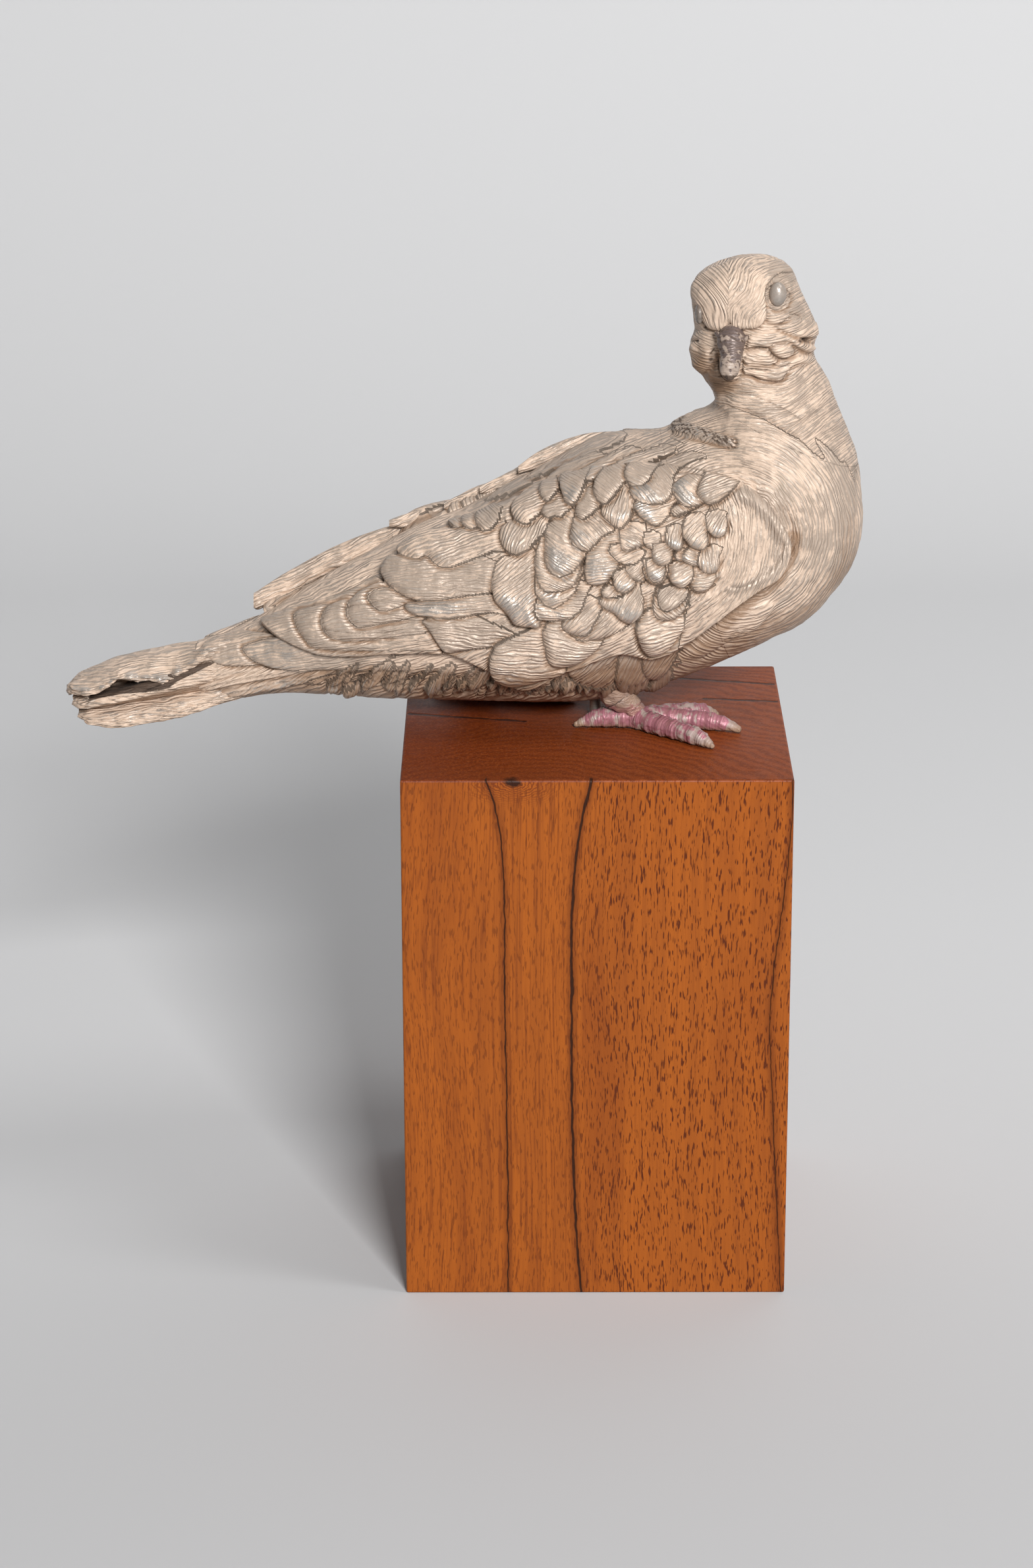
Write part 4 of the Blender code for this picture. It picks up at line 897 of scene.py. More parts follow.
NESTED_FEATHERS = [
    feather((6, 52), 2.4, [(-9, 42), (-12.5, 37), (-10, 34.3), (-6, 32), (0, 32.5), (6, 33.5),
        (10, 35.5), (14, 38), (15.5, 41), (14, 47)], 4, 0.5, 40),
    feather((-2, 52), 2.2, [(-12.5, 44), (-13.5, 38), (-12.5, 36.5), (-10, 35), (-7, 34.3), (-4, 34.3),
        (-2, 36), (-0.5, 38.5), (2, 43)], 3, 1, 42),
    feather((-9, 60), 2.2, [(-24, 51), (-25.2, 46), (-24.5, 43), (-22.5, 41), (-20, 40.3), (-16, 40.7),
        (-12, 41.2), (-8, 43), (-5.5, 45.5), (-4, 50)], 3, 0.9, -8),
    feather((-11, 68), 2.2, [(-24.5, 63), (-25, 58), (-24.5, 53), (-23, 50), (-21, 47.8), (-18, 46),
        (-16, 46.5), (-13, 48.5), (-9.5, 51.5), (-7, 55.5), (-5.5, 60)], 3, 0.8, 20),
    feather((-12, 80), 2.4, [(-23, 76), (-24.5, 70), (-24.8, 64), (-24, 59), (-22.5, 55.5),
        (-20.5, 53.5), (-18, 53.2), (-14, 53.5), (-10.5, 54.8), (-8, 57), (-6, 62)], 3, 1, -20),
    feather((-7, 90), 2.8, [(-18, 84), (-20.3, 80), (-20.5, 75), (-20.5, 70), (-20, 65), (-18.5, 62),
        (-16, 60), (-13.5, 59.5), (-10, 61), (-7, 64), (-3.5, 69), (-2, 73), (-2, 80)], 4.5, 1, -32),
    feather((14, 58), 2.2, [(5, 53), (1.8, 49), (4, 46), (8, 44), (11, 41), (15, 39), (18.5, 41),
        (20.5, 44.5), (20.5, 50), (19, 55)], 3.5, 1, 60),
    feather((11, 56), 1.4, [(3, 54), (3, 52), (5, 50.5), (8, 50.5), (11.5, 51)], 1.6, 0.4),
    feather((9, 86), 2.6, [(-2, 76), (-3.5, 69), (-4.2, 64), (-4, 60), (-3, 57), (0, 56), (3, 56.2),
        (6, 58), (9, 62), (11, 68), (11, 76)], 4.5, 0.8, 2),
    feather((34, 56), 1.8, [(25, 51), (24.5, 46), (26, 42), (29, 40.8), (33, 41.5), (37, 44), (39, 48)],
        2.2, 0.5),
    feather((34, 56), 1.6, [(26.5, 52), (27, 47.5), (29, 45.3), (32, 45.3), (36, 47.6), (39, 51)],
        2.0, 0.6),
    feather((48, 58), 1.5, [(39.5, 56), (41, 53.5), (43, 52.3), (46, 52.3), (48.5, 54)], 1.8, 0.5),
    feather((14, 64), 2.0, [(7.5, 60), (8, 57), (8.8, 54.5), (10.5, 53), (13, 52.7), (15.5, 54.2),
        (17.5, 57), (18, 61)], 2.6, 1),
    feather((1, 90), 2.6, [(-9, 83), (-9.8, 79), (-9.8, 76), (-8.5, 73), (-6, 71.5), (-3, 70.8),
        (-1, 72), (2, 75.5), (5, 78), (8, 79.5), (9, 84)], 4, 1, -42),
    feather((19, 68), 1.5, [(12.5, 65), (13.5, 62), (15.5, 59.3), (18, 57.8), (21, 57.3)], 2.2, 0.4),
    feather((46, 66), 2.0, [(39.5, 59), (40.5, 56), (43, 53.6), (46, 53.3), (49, 55.5), (51, 59)],
        2.6, 1, 10),
    feather((37, 68), 2.2, [(30.5, 62), (31, 59), (33, 56.5), (36.5, 54.8), (39.5, 56.3), (41.5, 60),
        (41, 64)], 3, 1, 20),
    feather((26, 68), 2.0, [(20.3, 64), (20.8, 60.5), (22.5, 57.3), (26, 55.8), (29.8, 57.8), (31, 62)],
        2.0, 0.5),
    feather((26.5, 69), 2.2, [(21.5, 65), (22, 61.5), (23.8, 58.3), (26.3, 57.2), (28.6, 58.7),
        (29.8, 62), (30, 65)], 3, 1.3, 30),
    feather((15, 74), 1.6, [(6, 71), (7, 69), (8.8, 67.3), (11, 65.6), (14, 64.8), (17.5, 65.5),
        (20.5, 68)], 3, 0.3),
    feather((15.5, 84), 1.8, [(10.3, 79), (10.6, 75), (11.3, 71.8), (14, 70.8), (17, 72.2), (20, 73.2),
        (22.2, 76), (21.5, 80)], 2.4, 0.8),
    feather((24.5, 80), 1.6, [(20.5, 75.5), (21.3, 73), (23.8, 71.7), (26.2, 72.3), (27.6, 75)],
        2.2, 0.6),
    feather((29.5, 75), 2.0, [(24, 71), (24.3, 68), (25.5, 66), (27.6, 64.6), (30, 64.8), (32, 66.3),
        (33, 69.5)], 2.6, 0.7, 25),
    feather((38, 72), 1.2, [(33.5, 69), (34.5, 67), (36.5, 66.2), (38.5, 67.5)], 1.6, 0.3),
    feather((45, 73), 2.0, [(36.8, 69), (37.2, 66.5), (40, 65.2), (43, 64), (45.5, 65.5)], 2.6, 1),
    feather((50, 74), 2.2, [(43.3, 68), (43.4, 65), (44.8, 62.4), (47.5, 61.2), (50.5, 61.6),
        (52.2, 64), (52.5, 69)], 3, 1, 88),
    feather((34.5, 83), 2.2, [(29.6, 78), (29.8, 75.5), (31, 73), (33.6, 71.2), (35.8, 71.3), (37, 74),
        (37.6, 78)], 3, 1.3, 80),
    feather((44, 88), 2.4, [(37, 83), (36.8, 79), (37.6, 76), (39.8, 73.2), (42.8, 71.6), (46, 71.6),
        (47.6, 75), (47, 81)], 3, 1, 48),
    feather((51.5, 89), 2.0, [(46.4, 85.5), (46.8, 81.5), (48, 78.6), (50, 77), (52.6, 76.8),
        (54.7, 78.5), (55.4, 81.5), (55, 85.5)], 3, 1.3, 60),
    feather((-23, 88), 2.6, [(-35, 84), (-39, 80), (-39.2, 75), (-37, 71), (-34.5, 69.4), (-31.5, 69),
        (-28, 70.8), (-24.5, 74.8), (-20.5, 79.3), (-19, 84)], 4, 1, 70),
    feather((-57, 90), 1.4, [(-62, 86), (-61, 82.5), (-57.5, 80.5), (-54, 82)], 2.2, 0.5),
    feather((-50, 91), 1.6, [(-55.5, 86), (-55, 82), (-51.5, 80), (-47.5, 82)], 2.4, 0.6),
    feather((-43, 92), 1.8, [(-49.5, 87), (-49, 82), (-45.5, 79), (-41, 82), (-39.5, 87)], 2.6, 0.7),
    feather((-20, 99), 2.4, [(-33, 93), (-34.7, 89), (-34, 85.5), (-31.5, 83), (-29, 82.2), (-26, 83.7),
        (-22.5, 87.5), (-19.5, 92)], 3.5, 1, 35),
    feather((-12, 98), 1.6, [(-21, 90), (-22, 87.5), (-20.5, 85.7), (-18.5, 84.8), (-16.5, 85.6),
        (-14, 85.3), (-12, 87), (-9.5, 90)], 2.2, 0.5),
    feather((1, 99), 2.0, [(-7.5, 94), (-8, 91), (-7.8, 88), (-6.5, 85), (-4.8, 84.3), (-2, 85.8),
        (0.5, 88), (2.5, 91)], 2.8, 0.5),
    feather((12, 100), 2.6, [(3, 93), (2.8, 89), (3.5, 86), (6, 83.4), (9, 81), (11.3, 80.6),
        (14, 83.3), (15.7, 87), (16.3, 91)], 4, 1.3, 75),
    feather((31, 96), 2.2, [(16.5, 92), (16.3, 89.3), (18.8, 86), (22, 83.3), (25.4, 81.8),
        (28.2, 82.8), (31, 86), (33, 91)], 3, 1, 20),
    feather((44, 95), 1.4, [(32, 89), (32.6, 86.5), (35, 86), (39, 88), (43, 89.5)], 2.0, 0.4),
    feather((-16, 104), 1.6, [(-22.6, 100), (-22.8, 96), (-21.4, 93.3), (-19.5, 92), (-17, 94)],
        2.2, 0.4),
    feather((-5, 110), 2.0, [(-14.6, 101), (-14.2, 97.5), (-13, 94), (-11.5, 91.4), (-9, 90.8),
        (-6.5, 93), (-4.8, 97), (-3.5, 102)], 2.8, 0.8, -30),
    feather((50, 103), 2.0, [(33, 100), (32.2, 97.5), (33, 95), (35, 92.2), (37.2, 90.3), (40, 89.8),
        (44, 90.8), (49, 93)], 2.8, 1, -35),
    feather((12, 109), 2.2, [(-0.2, 101), (-0.5, 97), (0.5, 94), (2.5, 91.4), (4.6, 90.8), (6.6, 92.2),
        (9.2, 95.5), (12, 100)], 3, 0.9, -38),
    feather((29, 108), 2.4, [(15, 99), (14.6, 96.5), (15.6, 94.3), (18, 92.2), (21, 91), (25, 90.6),
        (29, 91.6), (31.6, 94), (32.6, 98), (33, 103)], 3, 1.4, -50),
    feather((51, 109), 2.4, [(46, 104), (43.5, 99), (43, 95.5), (45, 92.6), (47.5, 91), (51, 91.8),
        (55, 94.8), (58.5, 98.3), (60.4, 101)], 3, 0.6, 25),
    feather((24, 112), 1.8, [(13, 107), (12.5, 104), (13.5, 100.5), (15.5, 98.4), (18, 98),
        (20.6, 98.9), (22.6, 101), (24.5, 105)], 2.6, 0.6, -25),
]
WING_LINES = [
    (0.7, 1.1, [(62, 101), (68, 96), (73, 90), (77, 83), (78.6, 76), (77.6, 69), (74, 62.5),
        (67, 58.5)]),
    (0.8, 0.9, [(60, 100), (55, 94.6), (50, 90.3), (45, 88.4), (40, 87.2), (36, 85.4), (32, 84.2),
        (28, 82)]),
    (0.7, 0.8, [(10, 80), (4, 83.5), (-2, 83), (-5, 83.6)]),
    (0.6, 0.8, [(56, 55.8), (59, 55), (62, 55.3), (66, 57), (70, 59.5)]),
    (0.4, 0.6, [(62, 90), (60, 95), (60.3, 98)]),
    (0.5, 0.6, [(-14.5, 98), (-14, 96), (-13.2, 94)]),
    (0.5, 0.7, [(-110, 45), (-95, 47.5), (-84, 50.5)]),
    (0.5, 0.6, [(-118, 37), (-100, 35.2), (-80, 36)]),
    (0.5, 0.6, [(-25, 26), (-30, 22), (-36, 18.2), (-40, 15.8)]),
    (0.5, 0.7, [(-60, 38), (-50, 36), (-42, 36.5)]),
    (0.5, 0.6, [(47, 47.5), (52, 51), (56, 54)]),
    (0.4, 0.6, [(46, 44), (52, 47.6), (58, 52)]),
]
WING_LUMPS = [
    (66, 80, 12, 17, 1.2), (57, 61.5, 3, 2.5, 0.5), (78, 77, 3, 8, 0.5), (62, 60, 8, 4, 0.6),
    (48, 49, 8, 4, 0.5),
]
WING_LIFT = 3.6
WRIST_LIFT = 3.8
WRIST_RIM = [(60, 96), (66, 92.8), (74.8, 85.3), (79.4, 74), (77.6, 64), (68, 57), (57, 54)]
WRIST_CENTRE = (14, 79)
SHELL_THICKNESS = 4.0
EDGE_SAMPLES = 190
print("the wing carries", len(LONG_FEATHERS) + len(NESTED_FEATHERS), "feathers")

# %% [markdown]
# ## Laying the wing on the body
#
# The wing's edges are drawn flat, so each of their points is first found on the body:
# a guess from a grid of samples, then Newton's steps, which close in fast. The shell is
# the body's own skin lifted along its normal, so it follows every curve. Its inner face
# lies under that skin, so no gap shows at its edge.

# %% Wing shells


def find_on_body(points):
    """Cut number and turn of the near-side body points that are drawn at these points.

    It starts at the nearest of a grid of samples and closes in by Newton steps."""
    points = np.asarray(points, float)
    at, turn = np.meshgrid(np.linspace(0.5, WING_REACH, 240), np.linspace(0.15, np.pi - 0.1, 120), indexing="ij")
    at, turn = at.ravel(), turn.ravel()
    seen = drawn(body_point(at, turn))
    nearest = ((seen[None] - points[:, None]) ** 2).sum(axis=-1).argmin(axis=1)
    at, turn = at[nearest], turn[nearest]
    nudge = 1e-3
    for _ in range(5):
        here = drawn(body_point(at, turn))
        by_at = (drawn(body_point(at + nudge, turn)) - here) / nudge
        by_turn = (drawn(body_point(at, turn + nudge)) - here) / nudge
        miss = points - here
        area = by_at[:, 0] * by_turn[:, 1] - by_at[:, 1] * by_turn[:, 0]
        area = np.where(np.abs(area) < 1, np.sign(area + 1e-9), area)
        at = at + np.clip((miss[:, 0] * by_turn[:, 1] - miss[:, 1] * by_turn[:, 0]) / area, -0.5, 0.5)
        turn = turn + np.clip((by_at[:, 0] * miss[:, 1] - by_at[:, 1] * miss[:, 0]) / area, -0.2, 0.2)
        turn = np.clip(turn, 0.05, np.pi - 0.03)
    return at, turn


def wing_skin(side, rows, across):
    """A shell over the body's skin between the drawn edges: skin plus normal times lift, with feathers.

    side is 1 for the near wing and -1 for the far one, which mirrors it."""
    rows, across = int(rows * FINE), int(across * FINE)
    along = np.linspace(0, len(WING_TOP) - 1, rows)
    coarse = np.linspace(0, len(WING_TOP) - 1, EDGE_SAMPLES)
    upper = find_on_body(spline(WING_TOP, coarse))
    lower = find_on_body(spline(WING_BOTTOM, coarse))
    found = np.stack(upper + lower, axis=-1)
    top_at, top_turn, low_at, low_turn = spline(found, along * (EDGE_SAMPLES - 1) / (len(WING_TOP) - 1)).T
    part = np.linspace(0, 1, across)[None, :]
    at = top_at[:, None] + (low_at - top_at)[:, None] * part
    turn = top_turn[:, None] + (low_turn - top_turn)[:, None] * part
    skin = body_point(at, turn)
    out = body_normal(at, turn)
    length = np.linalg.norm(np.diff(skin, axis=1), axis=-1).sum(axis=1)[:, None]
    from_edge = np.minimum(part, 1 - part) * length
    wrist = WRIST_LIFT * smooth((drawn(skin)[..., 0] - 35) / 35) * (1 - smooth(from_edge / 16))
    lift = WING_LIFT * smooth(from_edge / 1.6 + 0.1) * smooth(0.25 + part * length / 14) + wrist
    seen = drawn(skin + out * lift[..., None])
    flat = seen.reshape(-1, 2)
    height, wear_and_shade, grain = carve(flat, SCAPULARS + LONG_FEATHERS + NESTED_FEATHERS, turn=len(SCAPULARS))
    scored, dark = score(flat, WING_LINES)
    wear_and_shade[:, DARK] = np.maximum(wear_and_shade[:, DARK], dark)
    wear_and_shade = wear_and_shade.reshape(*seen.shape[:2], 4)
    grain = grain.reshape(*seen.shape[:2], 4)
    height = (height + scored).reshape(lift.shape) + lumps(seen, WING_LUMPS)
    rim, _ = line_distance(flat, np.array(WRIST_RIM, float))
    rim = np.exp(-(rim.reshape(lift.shape) / 2.4) ** 2)
    height = height + 0.9 * rim
    wear_and_shade[..., GREY] += rim
    height = height + 0.16 * swells(skin, 7.0, 13) + 0.07 * swells(skin, 2.4, 14)
    lift = lift + height * smooth(from_edge / 2.0)
    x, z = seen[..., 0], seen[..., 1]
    # Painted shade: dark and brown along the shell's lower edge.
    lower_half = smooth(part * 2 - 1)
    wear_and_shade[..., DARK] = np.maximum(wear_and_shade[..., DARK], 0.8 * (1 - smooth(from_edge / 0.9)) * lower_half)
    wear_and_shade[..., BROWN] += 0.8 * (1 - smooth(from_edge / 3.0)) * lower_half
    wear_and_shade[..., GREY] += 0.35 * (1 - grain[..., 3]) * (1 - smooth((x - 40) / 20))
    wear_and_shade = blot(seen, wear_and_shade)
    from_x, from_z = x - WRIST_CENTRE[0], z - WRIST_CENTRE[1]
    dome = stroke_field(np.hypot(from_x, from_z), np.arctan2(from_z, from_x) * 50, 1.7)
    slope = stroke_field(0.9 * z - 0.4 * x, 0.9 * x + 0.4 * z, 1.7)
    own = np.where((x > 44 + 0.2 * (z - 70))[..., None], dome, slope)
    strokes = np.where(grain[..., 3:] > 0.5, grain[..., :3], own)
    inner = slice(None, None, -6)
    outside = skin + out * lift[..., None]
    inside = skin - out * SHELL_THICKNESS
    rings = np.concatenate([outside, inside[:, inner]], axis=1)
    rings[..., 1] *= side
    wear_and_shade = np.concatenate([wear_and_shade, wear_and_shade[:, inner]], axis=1)
    strokes = np.concatenate([strokes, strokes[:, inner]], axis=1)
    return rings, wear_and_shade, strokes


rings, wear_and_shade, strokes = wing_skin(1, 480, 140)
skin_piece("near_wing", rings, PAINT, wear_and_shade, strokes)
rings, wear_and_shade, strokes = wing_skin(-1, 280, 90)
skin_piece("far_wing", rings, PAINT, wear_and_shade, strokes)

# %% [markdown]
# ## Far wing's blades
#
# Along the back the tips of the far wing's long feathers stand up one behind another.
# Each is a thin blade: an oval carried along a spine, tall in its middle and thin at
# its tip. A tube along a path is the natural shape for this, since only its outline
# and its upper edge are ever seen.

# %% Far wing's blades
BLADES = [
    [(-143.5, 49.5, 3.2, 11), (-141, 50, 4.2, 13), (-133, 55, 4.6, 15), (-120, 62, 5.2, 17),
        (-106, 69, 5.4, 18), (-88, 76, 5.2, 18), (-70, 80, 5, 18)],
    [(-86, 83, 1.6, 15), (-80, 84, 2.8, 16), (-70, 86, 3.4, 17), (-55, 88, 3.6, 18), (-40, 92, 4, 18)],
    [(-63, 90.5, 1.4, 13), (-57, 92, 3, 15), (-48, 95, 4.4, 16), (-34, 98, 5, 17), (-20, 102, 5, 18)],
    [(-48, 97.5, 1.6, 12), (-41, 99.5, 3, 14), (-31, 103, 4.4, 15), (-18, 107, 5, 16),
        (-4, 111, 5, 17)],
    [(-32, 106, 1.6, 11), (-24, 110, 3.6, 13), (-14, 114, 4.4, 14), (-2, 117, 4.8, 15),
        (14, 118, 4.6, 16)],
]
BLADE_THICKNESS = 2.6


def blade_skin(spine, seed):
    """Upright ovals along a spine: half height times cosine upwards, half thickness times sine outwards."""
    at = np.linspace(0, len(spine) - 1, int(90 * FINE))
    x, z, half_height, y = spline(spine, at).T
    turn = np.linspace(0, 2 * np.pi, int(60 * FINE) + 1)[:-1]
    middle = placed(x, z, y)
    up = np.array([0.0, 0.35, 0.94])
    out = np.array([0.0, 0.94, -0.35])
    thick = BLADE_THICKNESS * np.sqrt(half_height / half_height.max())
    rings = (
        middle[:, None, :]
        + (half_height[:, None] * np.cos(turn))[..., None] * up
        + (thick[:, None] * np.sin(turn))[..., None] * out
    )
    rings[..., 1] -= 0.3 * swells(rings, 6.0, seed)
    seen = drawn(rings)
    worn = smooth(0.5 + swells(rings, 12.0, seed + 50))
    wear_and_shade = np.zeros((*seen.shape[:2], 4))
    wear_and_shade[..., METAL] = 0.75 * worn * smooth((np.cos(turn) - 0.1) / 0.7)[None, :] * smooth(1.6 - at / 2)[:, None]
    wear_and_shade[..., GREY] = 0.35 + 0.4 * worn
    # Painted shade: dark and brown on the blade's underside.
    wear_and_shade[..., DARK] = 0.6 * smooth((-np.cos(turn) - 0.6) / 0.35)[None, :]
    wear_and_shade[..., BROWN] = 0.5 * smooth(-np.cos(turn) / 0.8)[None, :]
    strokes = stroke_field(0.9 * seen[..., 1] - 0.42 * seen[..., 0], seen[..., 0], seed)
    return rings, wear_and_shade, strokes


for number, spine in enumerate(BLADES, start=1):
    rings, wear_and_shade, strokes = blade_skin(spine, 20 + number)
    skin_piece(f"far_wing_blade_{number}", rings, PAINT, wear_and_shade, strokes)

# %% [markdown]
# ## Tail
#
# The tail is three blades that lie on one another, with a slot in shadow between the first two. Each is a flat oval
# carried from the root to a ragged tip. The near edge of each is drawn as it is seen, and the blade's edge is let
# down until it meets that line, so that the notches fall where they are on the real one. Small lobes curl up along
# the near edge of the top blade, as lumps on the skin, and the blade under it is let down inside the slot's outline
# and painted dark there as shadow. The blades' undersides, and a strip under the near edges of the upper two, are
# painted darker and browner as shade. Long strokes run down the tail's top.

# %% Tail
TAIL_LAYERS = [
    [(-223, 12.5, 9, 8, 9), (-219.5, 16, 10.5, 15, 11), (-212, 19.5, 14, 20, 13),
        (-205, 22, 17.5, 20, 15), (-197, 24.2, 20.3, 16, 16), (-188, 26, 22, 17, 17),
        (-178, 28, 24, 16, 17), (-170, 29.5, 24, 15, 16), (-160, 32, 20, 15, 15),
        (-146, 34, 18, 13, 14)],
    [(-221, 9, 5, 9, 8), (-215.5, 11, 4.5, 15, 13), (-204, 13, 5, 17.5, 15), (-190, 17, 7, 18, 16),
        (-175, 21.5, 9, 17.5, 16), (-160, 26, 10, 16, 15), (-146, 28, 10, 14, 14)],
    [(-218.5, 4.5, 1.5, 9, 8), (-212, 5.5, -1, 15, 13), (-200, 7, -1.5, 18, 15),
        (-186, 9.5, 0.8, 18.5, 15), (-170, 13, 4, 17, 14), (-156, 18, 8, 14, 12),
        (-142, 20, 12, 11, 10)],
]
TAIL_EDGES = [
    [(-223, 9.5), (-221, 8.6), (-218, 7.6), (-213, 7.2), (-208, 8.6), (-204, 11), (-200, 14.6),
        (-196, 14.2), (-192, 13.4), (-187, 14.2), (-184, 13.2), (-181, 12.2), (-178, 13.4),
        (-176, 15.8), (-170, 18.6), (-163.5, 22.5), (-146, 22)],
    [(-221, 3.5), (-218, 1.4), (-210, 2.2), (-190, 6.6), (-170, 11.0), (-155, 14.2), (-140, 17.0)],
    None,
]
TAIL_SLOT = [
    (-215, 5.6), (-207, 7.4), (-200, 8.7), (-192, 9.2), (-184, 9.9), (-180, 11.2), (-177, 14.2),
    (-170, 17.6), (-162, 21.8), (-158, 24), (-180, 21), (-200, 19), (-214, 11),
]
TAIL_LOBES = [
    (-216, 9.6, 2.4, 1.6, 2.0), (-208.5, 10.6, 2.0, 1.4, 1.4), (-203.5, 13.2, 2.2, 1.6, 1.9),
    (-196.5, 16.2, 2.8, 1.8, 2.4), (-190.5, 15.4, 2.0, 1.4, 1.6), (-183.5, 15.0, 3.2, 2.2, 3.4),
    (-176.5, 17.6, 2.6, 1.8, 2.2), (-168, 21.5, 3.4, 2.0, 2.4),
]
TAIL_SQUARE = 2.9
TAIL_DROOP = 2.0
SLOT_DEPTH = 1.1


def tail_skin(rows, edge, number):
    """A flat squared oval carried along x, drooping by the square of its reach.

    Its near edge is let down until it is drawn on the given line."""
    at = np.linspace(0, len(rows) - 1, int(200 * FINE))[:, None]
    turn = np.linspace(0, 2 * np.pi, int(130 * FINE) + 1)[:-1][None, :]
    row = spline(rows, at)
    out = rounded(np.sin(turn), TAIL_SQUARE)
    up = rounded(np.cos(turn), TAIL_SQUARE)
    reach = np.where(out > 0, row[..., 3], row[..., 4])
    z = (row[..., 1] + row[..., 2]) / 2 + (row[..., 1] - row[..., 2]) / 2 * up - TAIL_DROOP * out * out
    rings = np.stack([row[..., 0] + 0 * out, -reach * out, z], axis=-1)
    if edge is not None:
        line = np.array(edge, float)
        lowest = np.where(out > 0.2, drawn(rings)[..., 1], 1e9).min(axis=1)
        goal = np.interp(row[:, 0, 0], line[:, 0], line[:, 1])
        rings[..., 2] += (goal - lowest)[:, None] * smooth((out - 0.25) / 0.7)
    across = -rings[..., 1]
    vane = np.sin(across * 2 * np.pi / 6.5 + 0.05 * rings[..., 0] + number)
    barb = swells(np.stack([0.05 * rings[..., 0], across], axis=-1), 2.2, 30 + number)
    ripple = swells(rings, 8.0, 40 + number)
    rings[..., 2] += (0.16 * vane + 0.14 * barb + 0.30 * ripple) * np.abs(up)
    ragged = swells(np.stack([0.3 * rings[..., 0], 3 * rings[..., 2]], axis=-1), 3.0, 45 + number)
    rings[..., 1] -= 0.7 * ragged * smooth((np.abs(out) - 0.8) / 0.2) * np.sign(out)
    rings[..., 0] += 0.5 * swells(rings, 4.0, 50 + number) * smooth((-205 - rings[..., 0]) / 12)
    seen = drawn(rings)
    wear_and_shade = np.zeros((*seen.shape[:2], 4))
    rim = smooth((out - 0.55) / 0.35) * smooth(0.4 + up)
    patch = smooth(0.55 + 0.9 * swells(rings, 9.0, 60 + number))
    # The slot is let down, and painted dark there as shadow.
    in_slot = inside_distance(seen.reshape(-1, 2), np.array(TAIL_SLOT)).reshape(patch.shape)
    slot = smooth(0.5 + in_slot) * (number == 2) * (out > 0)
    rings[..., 2] -= SLOT_DEPTH * slot * smooth(up + 0.5)
    if number == 1:
        lobe = lumps(seen, TAIL_LOBES) * smooth((out - 0.3) / 0.4)
        rings[..., 1] -= lobe
        rings[..., 2] += 0.4 * lobe
        patch = np.maximum(patch, smooth(lobe))
    wear_and_shade[..., METAL] = rim * (0.9 * patch if number == 1 else 0.3 + 0.3 * patch)
    wear_and_shade[..., GREY] = 0.15 + 0.25 * swells(rings, 14.0, 70 + number)
    # Painted shade: dark and brown on the undersides, dark in the slot, and a dark strip under the near edges of
    # the upper two blades.
    wear_and_shade[..., DARK] = np.maximum(0.5 * smooth(-up - 0.3) * smooth(0.3 + ripple), slot)
    wear_and_shade[..., BROWN] = 0.2 + 0.8 * smooth(-up)
    under_edge = 0.7 * smooth(1.2 - np.abs(out - 0.93) / 0.04) * smooth(-up - 0.1) * (number < 3)
    wear_and_shade[..., DARK] = np.maximum(wear_and_shade[..., DARK], under_edge)
    strokes = stroke_field(1.2 * (seen[..., 1] - 0.16 * seen[..., 0]) + 0.1 * across, rings[..., 0], 11 + number)
    return rings, wear_and_shade, strokes


for number, (rows, edge) in enumerate(zip(TAIL_LAYERS, TAIL_EDGES), start=1):
    rings, wear_and_shade, strokes = tail_skin(rows, edge, number)
    skin_piece(f"tail_layer_{number}", rings, PAINT, wear_and_shade, strokes)

# %% [markdown]
# ## Neck, head and face
#
# The head turns towards the near side, so the face looks out sideways. Its skin is
# the body's own, with a much finer grid, because small creases make the face: the
# domed cap with its rolled edge, the lids, the cheek under the eye and the ruffle at
# the throat. Drawn patches stand up by about a millimetre, scored lines cut between
# them, and soft lumps round them off. The strokes on the cap are arcs round one point on
# each side of it, and the eye's lids are a narrow ridge on an oval.

